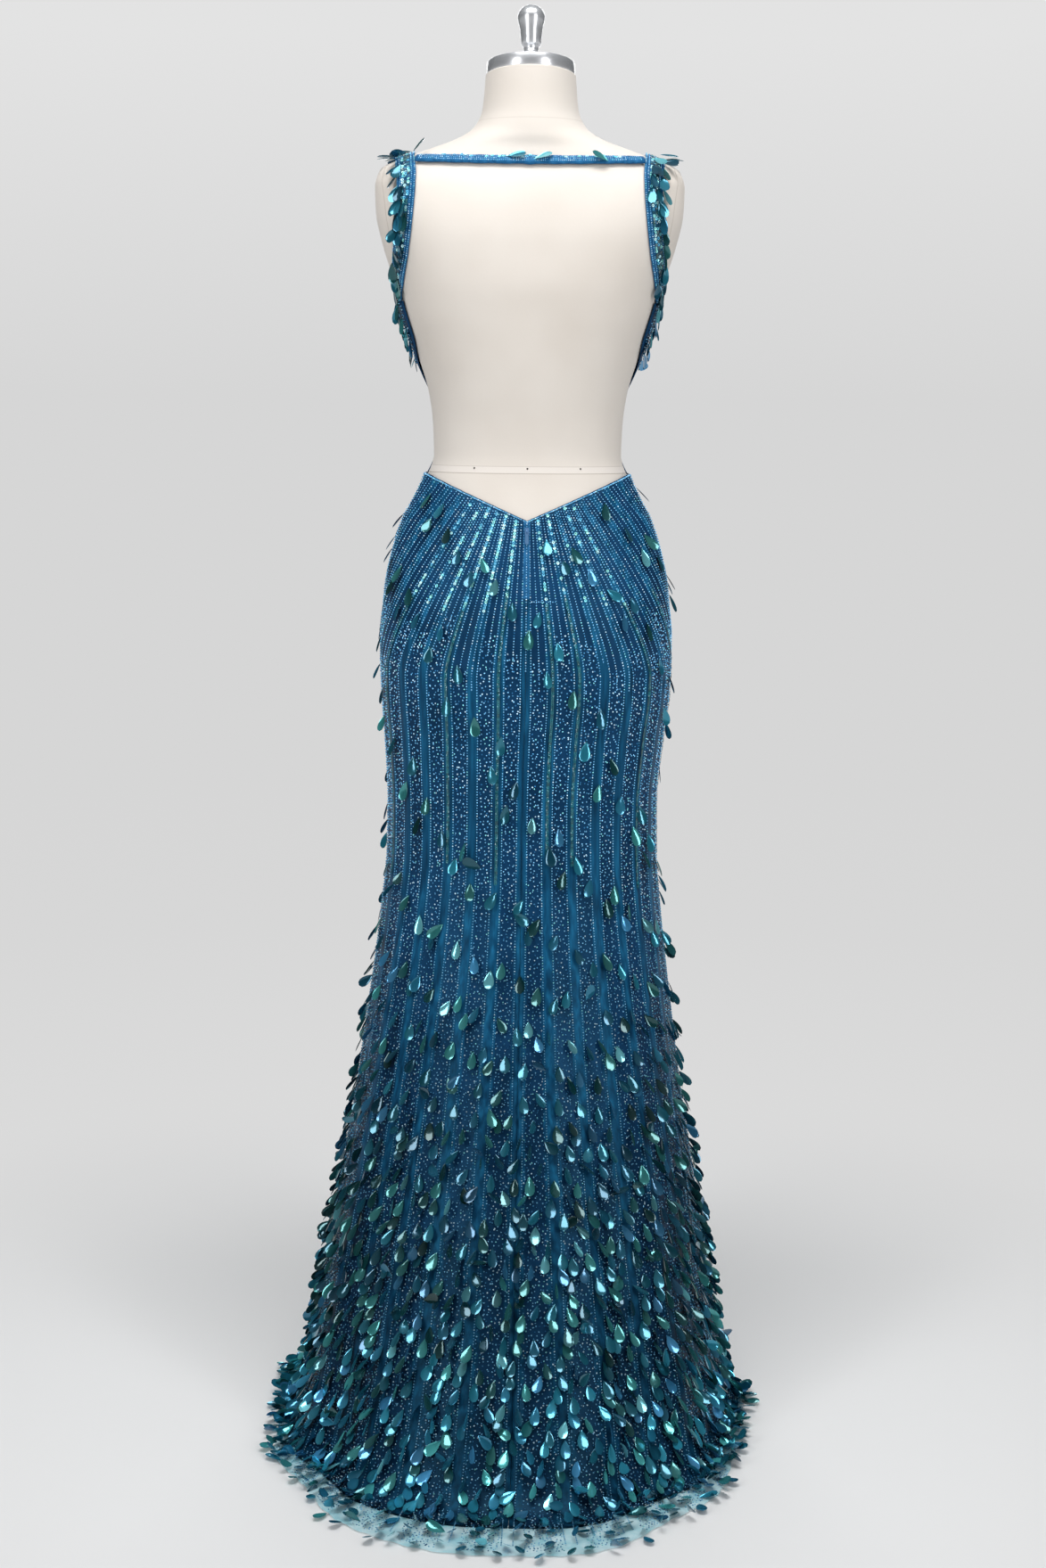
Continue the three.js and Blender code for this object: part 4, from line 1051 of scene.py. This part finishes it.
x = np.linspace(-HALF_SPAN, HALF_SPAN, 121)
settled, normal = on_back(x, 1537 - 2 * (1 - (x / HALF_SPAN) ** 2))
up, centre = uphill(normal), settled + normal * 4.3
run = unit(np.gradient(centre, axis=0))
turn = np.linspace(0, 2 * np.pi, 25)[:-1]
swell = 1 + 0.05 * np.cos(x / HALF_SPAN * np.pi * 9) + 0.14 * np.exp(-((x / 4) ** 2))
tall = up[:, None, :] * np.cos(turn)[None, :, None] * ROLL_HALF
deep = normal[:, None, :] * np.sin(turn)[None, :, None] * ROLL_DEEP
points = centre[:, None, :] + (tall - deep) * swell[:, None, None]
back_strap = put_grid("back_strap_roll", points, ring=True)
dress(walled(back_strap, 0.0008), face_cloth, "back_strap")
on = trims["back_strap"] = []

lift = np.array([4.0, 1.6, -1.0, -3.6])[None, :, None]
proud = ROLL_DEEP * (1 - (lift / ROLL_HALF) ** 2) ** 0.5 + 0.4
rows = (centre[:, None, :] + up[:, None, :] * lift + normal[:, None, :] * proud)[2:-2]
axes = np.stack([np.broadcast_to(v[2:-2, None, :], rows.shape) for v in (run, -up, normal)]).reshape(3, -1, 3)
rows = rows.reshape(-1, 3)
tint = BEAD_COLOURS[chance.choice(6, len(rows), p=(0.3, 0.35, 0.15, 0.05, 0.05, 0.1))]
beads("back_strap_beads", rows, axes, chance.uniform(0.95, 1.15, len(rows)), tint, on)

few = np.concatenate([np.arange(54, 66, 2), chance.integers(8, 112, 26)])
places = centre[few] + up[few] * chance.uniform(0, 4, (len(few), 1)) + normal[few] * 3.3
tint = PALE_RINGS[chance.choice(4, len(few))]
ringed("back_strap_sequins", places, [run[few], -up[few], normal[few]], tint, on)

ACCENTS = np.array([
    # a paillette's place in X and Z, the way its free end points in X and Z, its lift and its roll
    (27, 1536, -1, 0.1, 0.1, 0.1), (-92, 1531, 0.8, 0.35, 0.3, -0.2), (-5, 1533, -0.85, 0.4, 0.1, 0.3),
    (138, 1541, -0.75, 0.6, 0.5, 0.2), (-153, 1542, -0.9, -0.4, 0.2, -0.1),
], float)
x, z, to_x, to_z, lift, roll = ACCENTS.T
settled, normal = on_back(x, z)
toward = np.stack([to_x, 0 * x, to_z], -1)
toward = unit(toward - normal * (toward * normal).sum(-1, keepdims=True))
axes = hung([np.cross(toward, normal), toward, normal], 0 * x, lift, roll)
tint = FILM_COLOURS[[0, 2, 4, 5, 0]] * 0.8
paillettes("back_strap_paillettes", settled + normal * 8, axes, np.full(5, 0.95), tint, on)

# The zip is sewn in under two rolled folds of the strap cloth at the centre back. Its slider
# and its teardrop pull are die-cast and nickel plated.
FOLDS_TOP, FOLDS_END, FOLDS_HALF, FOLD_RISE = 1112.5, 1022, 4.5, 1.4
across = np.linspace(FOLDS_HALF, -FOLDS_HALF, 19)[None, :]
z = np.linspace(FOLDS_TOP, FOLDS_END, 60)[:, None] + 0 * across
across = across + 0 * z
angle = 180 - np.degrees(across / skirt_point(180.0 + 0 * z, z)[..., 1])
fold = np.sqrt(np.clip(1 - ((np.abs(across) - 2.3) / 2.25) ** 2, 0, 1))
points = skirt_point(angle, z) + np.array([0, 1, 0]) * (0.2 + FOLD_RISE * fold)[..., None]
zip_folds = put_grid("zip_folds_cloth", points)
dress(walled(zip_folds, 0.0006), face_cloth, "zip_folds")
# Nickel plate, drawn blue: the blue is a painted reflection of the cloth around it.
nickel = plain_material("nickel plate", "#6F9CCB", {"Metallic": 0.85, "Roughness": 0.35})
repaint(nickel, "zip_slider", "zip_pull")

low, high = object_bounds()
